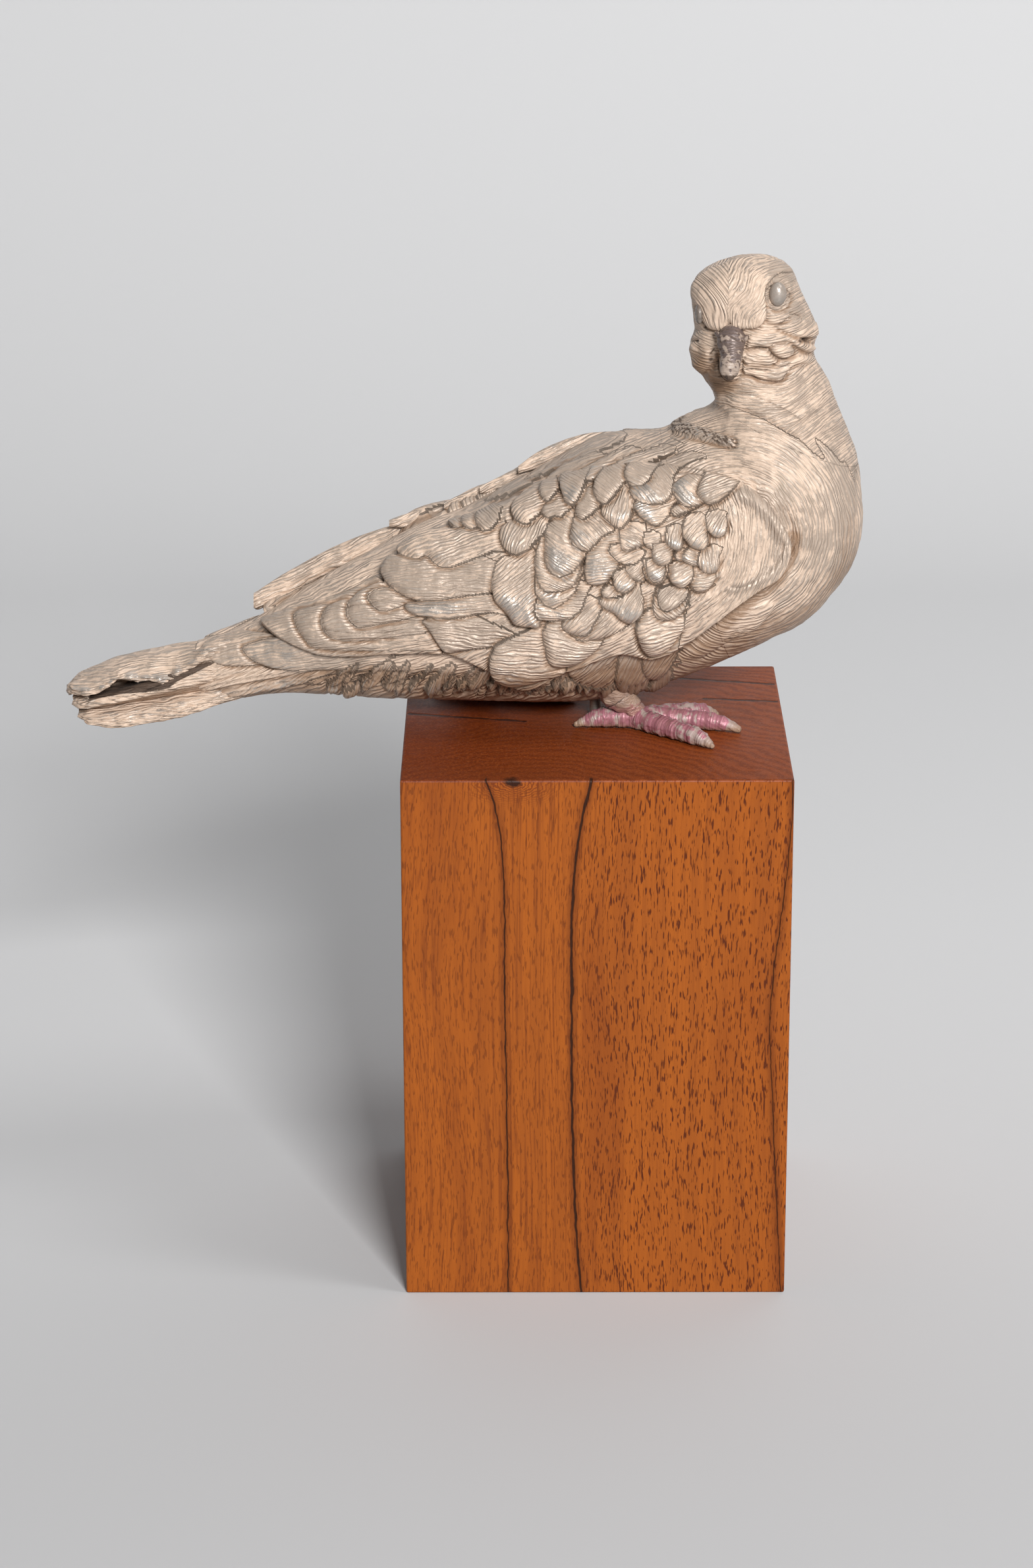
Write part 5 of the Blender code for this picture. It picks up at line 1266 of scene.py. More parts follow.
# %% Head
RUFFLE = [
    (62, 146.8), (64.8, 146.4), (67.3, 145.2), (70.1, 144.4), (73.3, 144), (75.7, 143.8), (77.7, 144.6),
    (79.1, 146.6), (80.4, 148.7), (82, 150.3), (84.4, 151.2), (87.6, 150.8),
]
FACE_FOLDS = [
    fold(1.1, RUFFLE + [(90, 152), (89, 154.6), (84, 155), (80, 152.2), (77.4, 150.6), (74, 151),
        (68, 151.5), (61, 150.5)], roll=2.0),
    fold(1.2, [(61.5, 156.2), (65, 157.4), (69, 157.6), (71.8, 156.4), (73.6, 154.2), (75.6, 152.6),
        (73, 151), (68, 151.2), (62, 151.4), (60.5, 154)], roll=1.8),
    fold(1.2, [(71.8, 157.3), (74, 155.2), (76.6, 153.8), (79.2, 153.8), (81.4, 155), (81.6, 158),
        (78, 159.6), (73.6, 159.2)], roll=1.6),
    fold(1.3, [(62.5, 157.6), (66, 158.6), (71.5, 158.4), (74, 160), (80, 160.6), (83, 158.4),
        (88, 156), (91, 158), (88.5, 159.4), (84, 162), (76, 164.5), (68, 164), (63.5, 163)], roll=2.0),
    fold(1.2, [(79, 170.3), (84.5, 170), (90.5, 168.6), (92, 164), (89, 162.3), (84, 162.4),
        (78, 164.8), (74, 167), (76, 167.4), (78, 168.6)], roll=1.8),
    fold(0.8, [(70.5, 173.4), (78, 173.4), (80, 172.4), (79, 170.4), (76.5, 168.4), (73.5, 168.2),
        (70.4, 169.6)], roll=1.6),
    fold(1.1, [(38, 150), (37, 160), (43, 165), (48.8, 162.8), (50, 158), (48.5, 151.5), (44, 147)],
        roll=2.4),
    fold(-1.3, [(70.6, 176), (69.9, 181), (71.2, 185.4), (75, 187.2), (79, 185.5), (80.4, 180.5),
        (79, 175.5), (75, 173.6)], roll=2.4),
    fold(1.6, [(43.7, 174.4), (44.3, 170.3), (45.5, 167.9), (47.2, 166.3), (50, 165.3), (52.4, 165),
        (54.6, 166), (55.5, 168.2), (56.4, 165.6), (59.6, 165.6), (62.8, 166), (65.2, 166),
        (67.2, 166.8), (68.8, 168.3), (70.2, 170.3), (70.4, 172.8), (70.1, 176), (69.6, 179.3),
        (69.6, 182.1), (70.4, 184.2), (71.6, 185.8), (73.2, 187.5), (76, 189), (82, 190), (80, 197),
        (64, 203), (50, 203), (34, 196), (32, 184), (40, 178)], roll=3.0),
]
FACE_DEPTH = 1.4
FACE_LINES = [
    (1.0, 0.75, [(61.5, 156), (63.7, 156.7), (66, 157.3), (68.4, 157.5), (70.8, 157.1), (71.6, 156.5),
        (73.2, 154.6), (75, 153), (77.2, 152.4), (79.2, 152.8), (80.5, 153.6), (81, 155.4)]),
    (0.7, 0.6, [(72.6, 151.5), (75, 150.3), (77.4, 150.1), (79.3, 150.9), (80.3, 151.9)]),
    (0.8, 0.6, [(61.5, 148.7), (63.9, 149.1), (67.2, 148.9), (70, 148.5), (72.4, 149)]),
    (1.0, 0.7, [(x, z - 0.5) for x, z in RUFFLE]),
    (0.8, 0.6, [(70.9, 177.5), (70.5, 180.5), (71, 183), (72.9, 185), (74.9, 185.9), (77, 185.2)]),
    (0.8, 0.6, [(71.5, 175.6), (73.1, 174.4), (75.5, 174.2), (77.3, 174.6), (78.5, 175.6)]),
    (0.6, 0.6, [(79.3, 171.8), (82, 172), (85.3, 171.2)]),
    (0.6, 0.6, [(75.3, 168.5), (76.8, 168), (78, 169.1), (79.6, 169.5)]),
    (0.5, 0.5, [(79.5, 183), (80.5, 181), (80.2, 178.5)]),
    (0.7, 0.6, [(47.4, 154.9), (48.4, 156.6), (49.3, 158.1)]),
    (0.7, 0.6, [(40, 160.2), (41.4, 160.9), (43.5, 161)]),
    (0.9, 0.6, [(41.5, 178), (40.8, 175.5), (41, 173)]),
    (0.8, 0.6, [(49.2, 158), (50.4, 152), (51, 147), (54, 143.6), (58, 143.8), (60.5, 147), (61, 152),
        (62.4, 156)]),
    (0.9, 1.0, [(54, 133.4), (63, 130.8), (70, 127.8), (77, 123.8), (82, 120.8), (88, 117.8)]),
    (0.4, 0.8, [(56, 139), (64, 138), (72, 135), (80, 131), (88, 126)]),
]
FACE_BUMPS = [
    (43, 151.5, 2.2, 1.8, 0.9), (46.2, 156, 1.8, 1.8, 0.8), (41, 157.5, 2.0, 1.8, 0.8),
    (47.9, 153.2, 1.0, 0.9, -1.3), (87.5, 161, 2.0, 1.2, -1.6), (84.2, 160.7, 1.0, 0.7, -0.9),
    (87, 166, 2.6, 2.2, 0.8), (66, 147.5, 2, 1.2, 0.4), (74, 147.4, 3.5, 1.6, 0.7),
    (85, 153, 2.4, 1.4, 0.6), (67, 154, 3.0, 1.8, 0.7), (76.5, 156.6, 2.6, 1.4, 0.6),
    (66, 160.8, 2.6, 1.4, 0.5), (42.2, 172.3, 1.4, 4.2, 0.8), (49.5, 167.8, 3.2, 1.6, 0.5),
    (60.5, 167.6, 4.5, 1.6, 0.5), (67.6, 169.6, 2.2, 2.6, 0.5), (55.4, 167.3, 0.9, 2.2, -1.1),
    (58, 190, 6, 5, 0.5), (61, 135.5, 8, 3.4, 0.9), (75, 130.5, 8, 4, 0.9), (88, 124, 7, 5, 0.9),
]


CAP_MIDDLE = 55
CAP_RIGHT = (84, 166)
CAP_LEFT = (28, 164)
NEAR_LID = (74.9, 180.3, 4.1, 5.7)
LID_HEIGHT = 1.3
print("the face has", len(FACE_FOLDS), "folds and", len(FACE_LINES), "scored lines")


def face_strokes(seen, at, side):
    """Strokes that wave across the neck and cheeks, and run over the cap in arcs round two points."""
    x, z = seen[..., 0], seen[..., 1]
    right_arcs = np.hypot(x - CAP_RIGHT[0], z - CAP_RIGHT[1])
    left_arcs = np.hypot(x - CAP_LEFT[0], z - CAP_LEFT[1])
    arcs = np.where(x > CAP_MIDDLE, right_arcs, left_arcs)
    fan = stroke_field(arcs + 0.8 * np.sin(z / 3.1 + x / 5), x + z, 5.9)
    on_cap = inside_distance(seen.reshape(-1, 2), FACE_FOLDS[-1][-1]).reshape(x.shape) > 0
    return np.where(on_cap[..., None], fan, form_strokes(seen, at, side))


def lid_ring(points):
    """The lids: a narrow ridge on an oval round the near eye, from the distance to that oval."""
    x, z, half_width, half_height = NEAR_LID
    away = np.hypot((points[:, 0] - x) / half_width, (points[:, 1] - z) / half_height)
    return np.exp(-((away - 1.04) / 0.16) ** 2)


lines = [(FACE_DEPTH * depth, width, line) for depth, width, line in FACE_LINES]
rings, wear_and_shade, strokes, seen = body_skin(
    NECK_CUT, len(CUTS) - 1, 240, 320, FACE_FOLDS, lines, face_strokes, FACE_BUMPS, dip=False
)
lids = lid_ring(seen.reshape(-1, 2)).reshape(seen.shape[:2]) * (rings[..., 1] < 0)
rings = rings - np.array([0.0, LID_HEIGHT, 0.0]) * lids[..., None]
wear_and_shade[..., GREY] = np.maximum(wear_and_shade[..., GREY], 0.9 * lids)
skin_piece("dove_head", rings, PAINT, wear_and_shade, strokes)

# %% [markdown]
# ## Beak and eyes
#
# The beak is a short tube that tapers to a rounded nib and hangs towards the viewer.
# A soft swelling in the shape of a V, the cere, sits over its root. The eyes are plain
# polished balls set in the lids. Their paint is greyer and glossier than the
# feathers', so they get their own version of the same finish.

# %% Beak and eyes
BEAK = np.array([
    (56.8, 166.5, 17, 3.0), (56.3, 163.3, 21.5, 5.2), (56.0, 160.4, 24.8, 5.8), (56.2, 157.4, 27.2, 5.1),
    (56.2, 154.4, 29.2, 4.4), (55.8, 151.5, 31, 4.2), (55.6, 149.0, 32.8, 4.0), (55.6, 147.0, 34.2, 3.4),
    (55.7, 146.0, 35.2, 1.9),
])
CERE = (56.4, 161.4, 23.8, 7.2, 4.4, 2.3)
CERE_SWEEP = 2.6
EYES = [(74.9, 180.4, 20.3, 3.5, 3.2, 4.9), (42.8, 172.4, 13.2, 1.8, 4.0, 4.4)]


def tube_skin(points, radii, steps, sides, knobs=0.0):
    """A round bar along smooth curves through the points, with domed ends and a swelling at each half step."""
    at = np.linspace(0, len(points) - 1, steps)
    middle = spline(points, at)
    radius = spline(np.asarray(radii, float)[:, None], at)[:, 0] * (1 + knobs * np.sin(at * 2 * np.pi) ** 2)
    ahead = np.gradient(middle, axis=0)
    ahead /= np.linalg.norm(ahead, axis=1, keepdims=True)
    dome = 0.5 * np.pi * np.linspace(0, 1, 7)[:-1]
    centre = np.vstack([
        middle[0] - ahead[0] * radius[0] * np.cos(dome)[:, None],
        middle,
        middle[-1] + ahead[-1] * radius[-1] * np.cos(dome[::-1])[:, None],
    ])
    size = np.concatenate([radius[0] * np.sin(dome) + 0.02, radius, radius[-1] * np.sin(dome[::-1]) + 0.02])
    ahead = np.vstack([np.repeat(ahead[:1], 6, axis=0), ahead, np.repeat(ahead[-1:], 6, axis=0)])
    helper = np.where(np.abs(ahead[:, 2:3]) < 0.8, [[0.0, 0.0, 1.0]], [[0.0, 1.0, 0.0]])
    across = np.cross(ahead, helper)
    across /= np.linalg.norm(across, axis=1, keepdims=True)
    up = np.cross(across, ahead)
    turn = np.linspace(0, 2 * np.pi, sides + 1)[:-1][None, :, None]
    return centre[:, None] + size[:, None, None] * (np.cos(turn) * across[:, None] + np.sin(turn) * up[:, None])


def ball_skin(centre, half, rings=40, sides=50):
    """A ball stretched along x, y and z, from pole to pole."""
    fall = np.linspace(0.03, np.pi - 0.03, rings)[:, None]
    turn = np.linspace(0, 2 * np.pi, sides + 1)[:-1][None, :]
    ball = np.stack([np.sin(fall) * np.cos(turn), np.sin(fall) * np.sin(turn), np.cos(fall) + 0 * turn], axis=-1)
    return np.asarray(centre) + ball * np.asarray(half)


HORN = cast_paint(
    "beak_paint", cream=(0.36, 0.285, 0.235), worn=(0.125, 0.095, 0.09), gloss=0.42, strokes=0.3, patches=1.15
)
rings = tube_skin(placed(BEAK[:, 0], BEAK[:, 1], -BEAK[:, 2]), BEAK[:, 3], 80, 60)
rings = rings + 0.15 * swells(rings, 2.5, 90)[..., None] * np.array([0.5, 1.0, 0.5])
wear_and_shade = np.zeros((*rings.shape[:2], 4))
low = drawn(rings)[..., 1]
wear_and_shade[..., DARK] = 0.95 * smooth((146.9 - low) / 1.2)
wear_and_shade[..., DARK] += 0.75 * smooth(1.6 * swells(rings, 2.0, 91) - 0.1) * smooth((low - 147) / 4)
wear_and_shade[..., GREY] = 0.2 + 0.8 * smooth((low - 149) / 10) + 0.8 * swells(rings, 2.6, 93)
wear_and_shade[..., METAL] = 0.5 * smooth((150.5 - low) / 2) * smooth(low - 147)
wear_and_shade[..., BROWN] = 0.3
skin_piece("beak", rings, HORN, wear_and_shade, stroke_field(low, rings[..., 0], 2.0))

x, z, near, *half = CERE
rings = ball_skin(placed(np.float64(x), np.float64(z), np.float64(-near)), half)
aside = (rings[..., 0] - x) / half[0]
rings[..., 2] += CERE_SWEEP * (np.abs(aside) ** 1.4 - 0.35)
rings[..., 1] += 2.0 * aside ** 2 + 0.9 * np.exp(-(aside / 0.14) ** 2)
rings = rings + 0.2 * swells(rings, 3.0, 92)[..., None] * np.array([0.3, 1.0, 0.3])
wear_and_shade = np.zeros((*rings.shape[:2], 4))
seen = drawn(rings)
wear_and_shade[..., DARK] = smooth(1.5 - np.hypot((seen[..., 0] - 50.6) / 1.5, (seen[..., 1] - 160.4) / 0.8))
# Painted shade in the groove down the cere's middle.
wear_and_shade[..., DARK] += 0.6 * np.exp(-(aside / 0.09) ** 2)
wear_and_shade[..., GREY] = 0.9 + 0.9 * swells(rings, 2.4, 94)
wear_and_shade[..., DARK] += 0.6 * smooth(1.5 * swells(rings, 1.8, 95) - 0.2)
wear_and_shade[..., BROWN] = 0.3
skin_piece("cere", rings, HORN, wear_and_shade, stroke_field(seen[..., 1], seen[..., 0], 4.0))

EYE_PAINT = cast_paint("eye_paint", cream=(0.235, 0.205, 0.18), worn=(0.165, 0.14, 0.12), gloss=0.33, strokes=0.0)
for name, (x, z, near, *half) in zip(("near_eye", "far_eye"), EYES):
    rings = ball_skin(placed(np.float64(x), np.float64(z), np.float64(-near)), half)
    wear_and_shade = np.zeros((*rings.shape[:2], 4))
    wear_and_shade[..., METAL] = 0.55
    # Painted shade: brown towards the ball's rim, and the far eye darkened as a whole.
    wear_and_shade[..., BROWN] = 0.4 * smooth(np.hypot(rings[..., 0] - x, rings[..., 2] - z) / 4 - 0.3)
    wear_and_shade[..., DARK] = 0.5 * (name == "far_eye")
    skin_piece(name, rings, EYE_PAINT, wear_and_shade)

# %% [markdown]
# ## Feet
#
# Each foot has four knobbly toes that lie on the block, and a short leg into the
# belly. The toes are tubes with a swelling at each joint and a swirled surface. A
# thin magenta wash lies over the grey-beige paint, and the claws stay cream.

# %% Feet
TOES = [
    [(0, 0), (11, 1.5), (22, -0.5), (33, -3.5), (41.5, -6.5)],
    [(0, 0), (9, 5), (18, 9), (26, 11.5), (33, 13)],
    [(0, 0), (8, -8.5), (16.5, -16), (24, -22.5), (29.5, -27.5)],
    [(0, 0), (-9, 1.5), (-17, 1.5), (-26, 1)],
]
TOE_RADII = [4.4, 4.0, 3.7, 3.3, 1.3]
LEG = [(0, 0, 4.4, 4.6), (-3, 0.5, 9, 4.6), (-8, 1, 14, 7.5), (-11, 2, 22, 11)]
HUBS = {"near": (18.5, -21.5, 1), "far": (-42, 26, -1)}
PINK_PAINT = cast_paint(
    "foot_paint", cream=(0.36, 0.275, 0.25), worn=(0.36, 0.105, 0.155), gloss=0.46, strokes=0.35, patches=0.95
)

for name, (hub_x, hub_y, side) in HUBS.items():
    for number, toe in enumerate(TOES, start=1):
        radii = TOE_RADII[:len(toe) - 1] + TOE_RADII[-1:]
        points = [(hub_x + x, hub_y + side * y, radius) for (x, y), radius in zip(toe, radii)]
        rings = tube_skin(points, radii, 80, 44, knobs=0.10)
        swirl = 0.38 * swells(rings, 2.6, 100 + number)
        rings = rings + swirl[..., None] * np.array([0.3, 0.7, 0.8])
        rings[..., 2] = np.maximum(rings[..., 2], 0.0)
        wear_and_shade = np.zeros((*rings.shape[:2], 4))
        part = np.linspace(0, 1, rings.shape[0])[:, None]
        claw = smooth((part - 0.78) / 0.1)
        wear_and_shade[..., GREY] = (1 - claw) * (0.95 + 0.6 * swells(rings, 5.0, 110 + number))
        wear_and_shade[..., METAL] = 0.30 * smooth(swells(rings, 4.0, 120 + number))
        # Painted shade: brown and dark low down by the block, and dark in the swirl's hollows. The rest of the
        # brown is the foot's own colour.
        wear_and_shade[..., BROWN] = 0.5 * smooth(1 - rings[..., 2] / 3.5) + 0.3 + 0.4 * claw
        wear_and_shade[..., DARK] = 0.8 * smooth(1 - rings[..., 2] / 1.2)
        wear_and_shade[..., DARK] += 0.55 * smooth(-0.2 - swells(rings, 2.6, 100 + number))
        run = part * 40 + 0 * rings[..., 0]
        skin_piece(f"{name}_toe_{number}", rings, PINK_PAINT, wear_and_shade, stroke_field(run, rings[..., 1], number))
    points = [(hub_x + x, hub_y + y, z) for x, y, z, _ in LEG]
    rings = tube_skin(points, [radius for *_, radius in LEG], 70, 70)
    rings = rings + 0.45 * swells(rings, 3.5, 130)[..., None] * np.array([0.7, 0.7, 0.3])
    wear_and_shade = np.zeros((*rings.shape[:2], 4))
    wear_and_shade[..., GREY] = smooth((14 - rings[..., 2]) / 5)
    wear_and_shade[..., BROWN] = 0.7
    skin_piece(f"{name}_leg", rings, PINK_PAINT, wear_and_shade, rings[..., [2, 0, 1]])

# %% [markdown]
# ## The block of oiled wood
#
# The block is exactly the imported solid, so the solid itself stays and only gets a finer finish. Wood is a stack
# of fibres along one axis: noise drawn out upwards makes the figure and the pores on the sides. On the top the
# fibres are seen end-on, and sine waves of the distance from the tree's heart make the growth rings. The top is
# also painted lighter to the right and darker to the left, as painted light and shade. Two long drying cracks and a
# thin third one run down the front: each row is a share of the full width and a curve of x over height. Short
# straight cracks cross the top, and a small knot sits on its front edge. The imported solid stays as it is, so all
# of them are made with colour and bump, and the open cracks are painted near black as shade.

# %% Oiled wood
CRACKS = [
    (0.55, [(0, -36.9), (77, -37.1), (137, -37.9), (196, -38.5), (213, -40.5), (230, -45)]),
    (1.0, [(0, -6.1), (48, -9.0), (137, -10.2), (181, -9.7), (207.5, -7.0), (230, -2.5)]),
    (0.35, [(0, 78.5), (90, 73.5), (130, 72.0), (165, 75.0), (200, 78.5), (230, 79.5)]),
]
TOP_CRACKS = [
    ((-0.078, 0.010), (-0.030, 0.000)), ((-0.045, 0.048), (0.030, 0.055)),
    ((0.030, 0.060), (0.078, 0.050)), ((0.048, 0.030), (0.078, 0.026)),
    ((-0.074, 0.062), (-0.050, 0.056)),
]
KNOT = (-0.0345, -0.0750, PLINTH_TOP - 0.0012)
WOOD_LIGHT = (0.312, 0.079, 0.0088)
WOOD_DEEP = (0.265, 0.066, 0.0078)
WOOD_PORE = (0.085, 0.017, 0.004)
# The two end-grain colours are painted shade on the left of the top and painted light on its right.
WOOD_END_PAINTED_SHADE = (0.150, 0.026, 0.004)
WOOD_END_PAINTED_LIGHT = (0.235, 0.050, 0.010)
WOOD_TAINT = (0.20, 0.044, 0.0058)
WOOD_LINE = (0.175, 0.040, 0.0065)
GROWTH_RING = (0.095, 0.015, 0.003)
END_FIBRE = (0.30, 0.075, 0.017)
KNOT_RING = (0.15, 0.030, 0.005)
KNOT_HEART = (0.030, 0.008, 0.003)
CRACK_DARK = (0.018, 0.006, 0.003)
TREE_HEART = (-0.03, -0.135, 0.0)
BLOCK_WIDTH = 160
BLOCK_HEIGHT = 230

WOOD, tree, shader = finish("oiled_hardwood")
own = node(tree, "TexCoord", output=3)
place = tree.nodes.new("ShaderNodeSeparateXYZ")
tree.links.new(own, place.inputs[0])
sway = calc(tree, "SUBTRACT", spots(tree, stretched(tree, own, (1, 1, 0.35)), 14, detail=1), 0.5)
sway = calc(tree, "MULTIPLY", sway, 0.02)
bent = node(tree, "VectorMath", {0: own, 1: node(tree, "CombineXYZ", {0: sway, 1: sway})}, operation="ADD")
figure = spots(tree, stretched(tree, bent, (1, 1, 0.03)), 210, detail=5, rough=0.65)
fibre = spots(tree, stretched(tree, bent, (1, 1, 0.02)), 900, detail=2)
pores = spots(tree, stretched(tree, bent, (1, 1, 0.14)), 1500, detail=1)
right = rise(tree, place.outputs[0], -0.020, 0.010)
colour = blend(tree, rise(tree, figure, 0.36, 0.66), WOOD_LIGHT, WOOD_DEEP)
taint = rise(tree, spots(tree, stretched(tree, bent, (1, 1, 0.12)), 45, detail=3), 0.50, 0.72)
colour = blend(tree, calc(tree, "MULTIPLY", taint, 0.55), colour, WOOD_TAINT)
colour = blend(tree, calc(tree, "MULTIPLY", rise(tree, fibre, 0.5, 0.75), 0.45), colour, WOOD_DEEP)
dashes = calc(tree, "MULTIPLY", rise(tree, pores, 0.56, 0.66), scaled(tree, right, 0.5, 0.5))
long_lines = spots(tree, stretched(tree, bent, (1, 1, 0.010)), 1100, detail=2)
lined = calc(tree, "SUBTRACT", 0.75, calc(tree, "MULTIPLY", right, 0.45))
long_lines = calc(tree, "MULTIPLY", rise(tree, long_lines, 0.50, 0.68), lined)
colour = blend(tree, long_lines, colour, WOOD_LINE)
colour = blend(tree, dashes, colour, WOOD_PORE)
top = rise(tree, place.outputs[2], PLINTH_TOP - 0.0012, PLINTH_TOP - 0.0003)
away = node(tree, "VectorMath", {0: own, 1: TREE_HEART}, operation="SUBTRACT")
ring = node(tree, "VectorMath", {0: stretched(tree, away, (1, 1, 0))}, output=1, operation="LENGTH")
growth = calc(tree, "MULTIPLY", spots(tree, own, 55, detail=4), 0.016)
growth = calc(tree, "ADD", calc(tree, "MULTIPLY", sway, 1.6), growth)
rings_wave = calc(tree, "SINE", calc(tree, "MULTIPLY", calc(tree, "ADD", ring, growth), 1150))
# Painted light and shade: the end grain is painted lighter to the right and darker to the left.
end_grain = blend(tree, rise(tree, place.outputs[0], -0.09, 0.09), WOOD_END_PAINTED_SHADE, WOOD_END_PAINTED_LIGHT)
end_grain = blend(tree, calc(tree, "MULTIPLY", rise(tree, rings_wave, -1.0, 1.0), 0.5), end_grain, GROWTH_RING)
end_grain = blend(tree, calc(tree, "MULTIPLY", rise(tree, fibre, 0.45, 0.7), 0.5), end_grain, END_FIBRE)
colour = blend(tree, top, colour, end_grain)
front = rise(tree, calc(tree, "MULTIPLY", place.outputs[1], -1.0), 0.070, 0.0755)
split_open = 0.0
margin = 0.0
for wide, crack in CRACKS:
    curve = tree.nodes.new("ShaderNodeFloatCurve")
    points = curve.mapping.curves[0].points
    ends = [points[0], points[-1]]
    for (height, x), point in zip((crack[0], crack[-1]), ends):
        point.location = (height / BLOCK_HEIGHT, x / BLOCK_WIDTH + 0.5)
    for height, x in crack[1:-1]:
        points.new(height / BLOCK_HEIGHT, x / BLOCK_WIDTH + 0.5)
    curve.mapping.update()
    tree.links.new(calc(tree, "DIVIDE", place.outputs[2], PLINTH_TOP), curve.inputs["Value"])
    line = scaled(tree, curve.outputs[0], BLOCK_WIDTH * MM, -0.5 * BLOCK_WIDTH * MM)
    shake = calc(tree, "MULTIPLY", calc(tree, "SUBTRACT", spots(tree, own, 120, detail=2), 0.5), 0.0016)
    gap = calc(tree, "ABSOLUTE", calc(tree, "SUBTRACT", calc(tree, "ADD", place.outputs[0], shake), line))
    width = spots(tree, stretched(tree, own, (0, 0, 1)), 60, detail=2)
    width = scaled(tree, width, 0.0013 * wide, -0.00015 * wide)
    open_here = calc(tree, "SUBTRACT", 1.0, rise(tree, calc(tree, "SUBTRACT", gap, width), -0.0002, 0.0002))
    split_open = calc(tree, "MAXIMUM", split_open, calc(tree, "MULTIPLY", open_here, front))
    near_it = calc(tree, "SUBTRACT", 1.0, rise(tree, calc(tree, "SUBTRACT", gap, width), 0.0, 0.0030))
    margin = calc(tree, "MAXIMUM", margin, calc(tree, "MULTIPLY", near_it, front))
for start, end in TOP_CRACKS:
    reach = Vector((end[0] - start[0], end[1] - start[1], 0))
    from_start = node(tree, "VectorMath", {0: own, 1: (*start, 0)}, operation="SUBTRACT")
    unit = tuple(reach / reach.length_squared)
    along = node(tree, "VectorMath", {0: from_start, 1: unit}, output=1, operation="DOT_PRODUCT")
    along = calc(tree, "MINIMUM", calc(tree, "MAXIMUM", along, 0.0), 1.0)
    nearest = node(tree, "VectorMath", {0: tuple(reach), 3: along}, operation="SCALE")
    gap = node(tree, "VectorMath", {0: from_start, 1: nearest}, operation="SUBTRACT")
    gap = node(tree, "VectorMath", {0: stretched(tree, gap, (1, 1, 0))}, output=1, operation="LENGTH")
    shake = calc(tree, "MULTIPLY", calc(tree, "SUBTRACT", spots(tree, own, 200, detail=3), 0.5), 0.0030)
    gap = calc(tree, "ABSOLUTE", calc(tree, "ADD", gap, shake))
    split = calc(tree, "SUBTRACT", 1.0, rise(tree, gap, 0.0005, 0.0016))
    split_open = calc(tree, "MAXIMUM", split_open, calc(tree, "MULTIPLY", split, calc(tree, "MULTIPLY", top, 0.85)))
knot = node(tree, "VectorMath", {0: own, 1: KNOT}, operation="SUBTRACT")
knot = node(tree, "VectorMath", {0: stretched(tree, knot, (1, 1, 2.2))}, output=1, operation="LENGTH")
wavy = calc(tree, "SUBTRACT", spots(tree, own, 300, detail=3), 0.5)
knot = calc(tree, "ADD", knot, calc(tree, "MULTIPLY", wavy, 0.006))
eddy = calc(tree, "SINE", calc(tree, "MULTIPLY", knot, 3600))
around = calc(tree, "SUBTRACT", 1.0, rise(tree, knot, 0.008, 0.026))
colour = blend(tree, calc(tree, "MULTIPLY", around, rise(tree, eddy, -0.4, 1.0)), colour, KNOT_RING)
colour = blend(tree, calc(tree, "SUBTRACT", 1.0, rise(tree, knot, 0.0022, 0.0048)), colour, KNOT_HEART)
colour = blend(tree, calc(tree, "MULTIPLY", margin, 0.5), colour, WOOD_PORE)
# Painted shade: the open cracks, painted near black.
colour = blend(tree, calc(tree, "MULTIPLY", split_open, 0.93), colour, CRACK_DARK)
tree.links.new(colour, shader.inputs["Base Color"])
tree.links.new(scaled(tree, figure, 0.25, 0.34), shader.inputs["Roughness"])
sunk = calc(tree, "ADD", calc(tree, "MULTIPLY", split_open, 3.0), dashes)
relief = calc(tree, "SUBTRACT", calc(tree, "MULTIPLY", fibre, 0.4), sunk)
bump = node(tree, "Bump", {"Height": relief, "Strength": 0.5, "Distance": 0.25 * MM})
tree.links.new(bump, shader.inputs["Normal"])
shader.inputs["Specular IOR Level"].default_value = 0.16

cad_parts["plinth"].material_slots[0].material = WOOD
print("the block wears", WOOD.name, "with", len(CRACKS) + len(TOP_CRACKS), "cracks")

# %% [markdown]
# ## The pin
#
# Only a short length of the metal pin shows in the shadow between belly and block.
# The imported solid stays, and its metal gets fine turning marks.

# %% Pin metal
PIN_LIGHT = (0.60, 0.55, 0.48)
PIN_DEEP = (0.42, 0.38, 0.33)

PIN, tree, shader = finish("rod_metal")
own = node(tree, "TexCoord", output=3)
marks = spots(tree, stretched(tree, own, (1, 1, 60)), 60, detail=3)
tone = blend(tree, rise(tree, marks, 0.35, 0.65), PIN_LIGHT, PIN_DEEP)
tree.links.new(tone, shader.inputs["Base Color"])
tree.links.new(scaled(tree, marks, 0.3, 0.5), shader.inputs["Roughness"])
shader.inputs["Metallic"].default_value = 1.0
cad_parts["support_rod"].material_slots[0].material = PIN
print("the pin wears", PIN.name)

# %% [markdown]
# ## Studio
#
# A pale sheet runs from the floor up the wall in one sweep, so there is no corner behind the bird. It is painted a
# little darker on the floor and paler up the wall, as painted shade and light. One large softbox in front, to the
# right and above, gives the soft shadow to the left. A weak one lightens the wall, and a dim even surround fills
# the rest.

# %% Studio
SWEEP_RADIUS = 0.7
SWEEP_BACK = 0.95
SHADED_FLOOR_COLOUR = (0.480, 0.480, 0.485)
WALL_COLOUR = (0.595, 0.595, 0.60)
SURROUND = 0.13


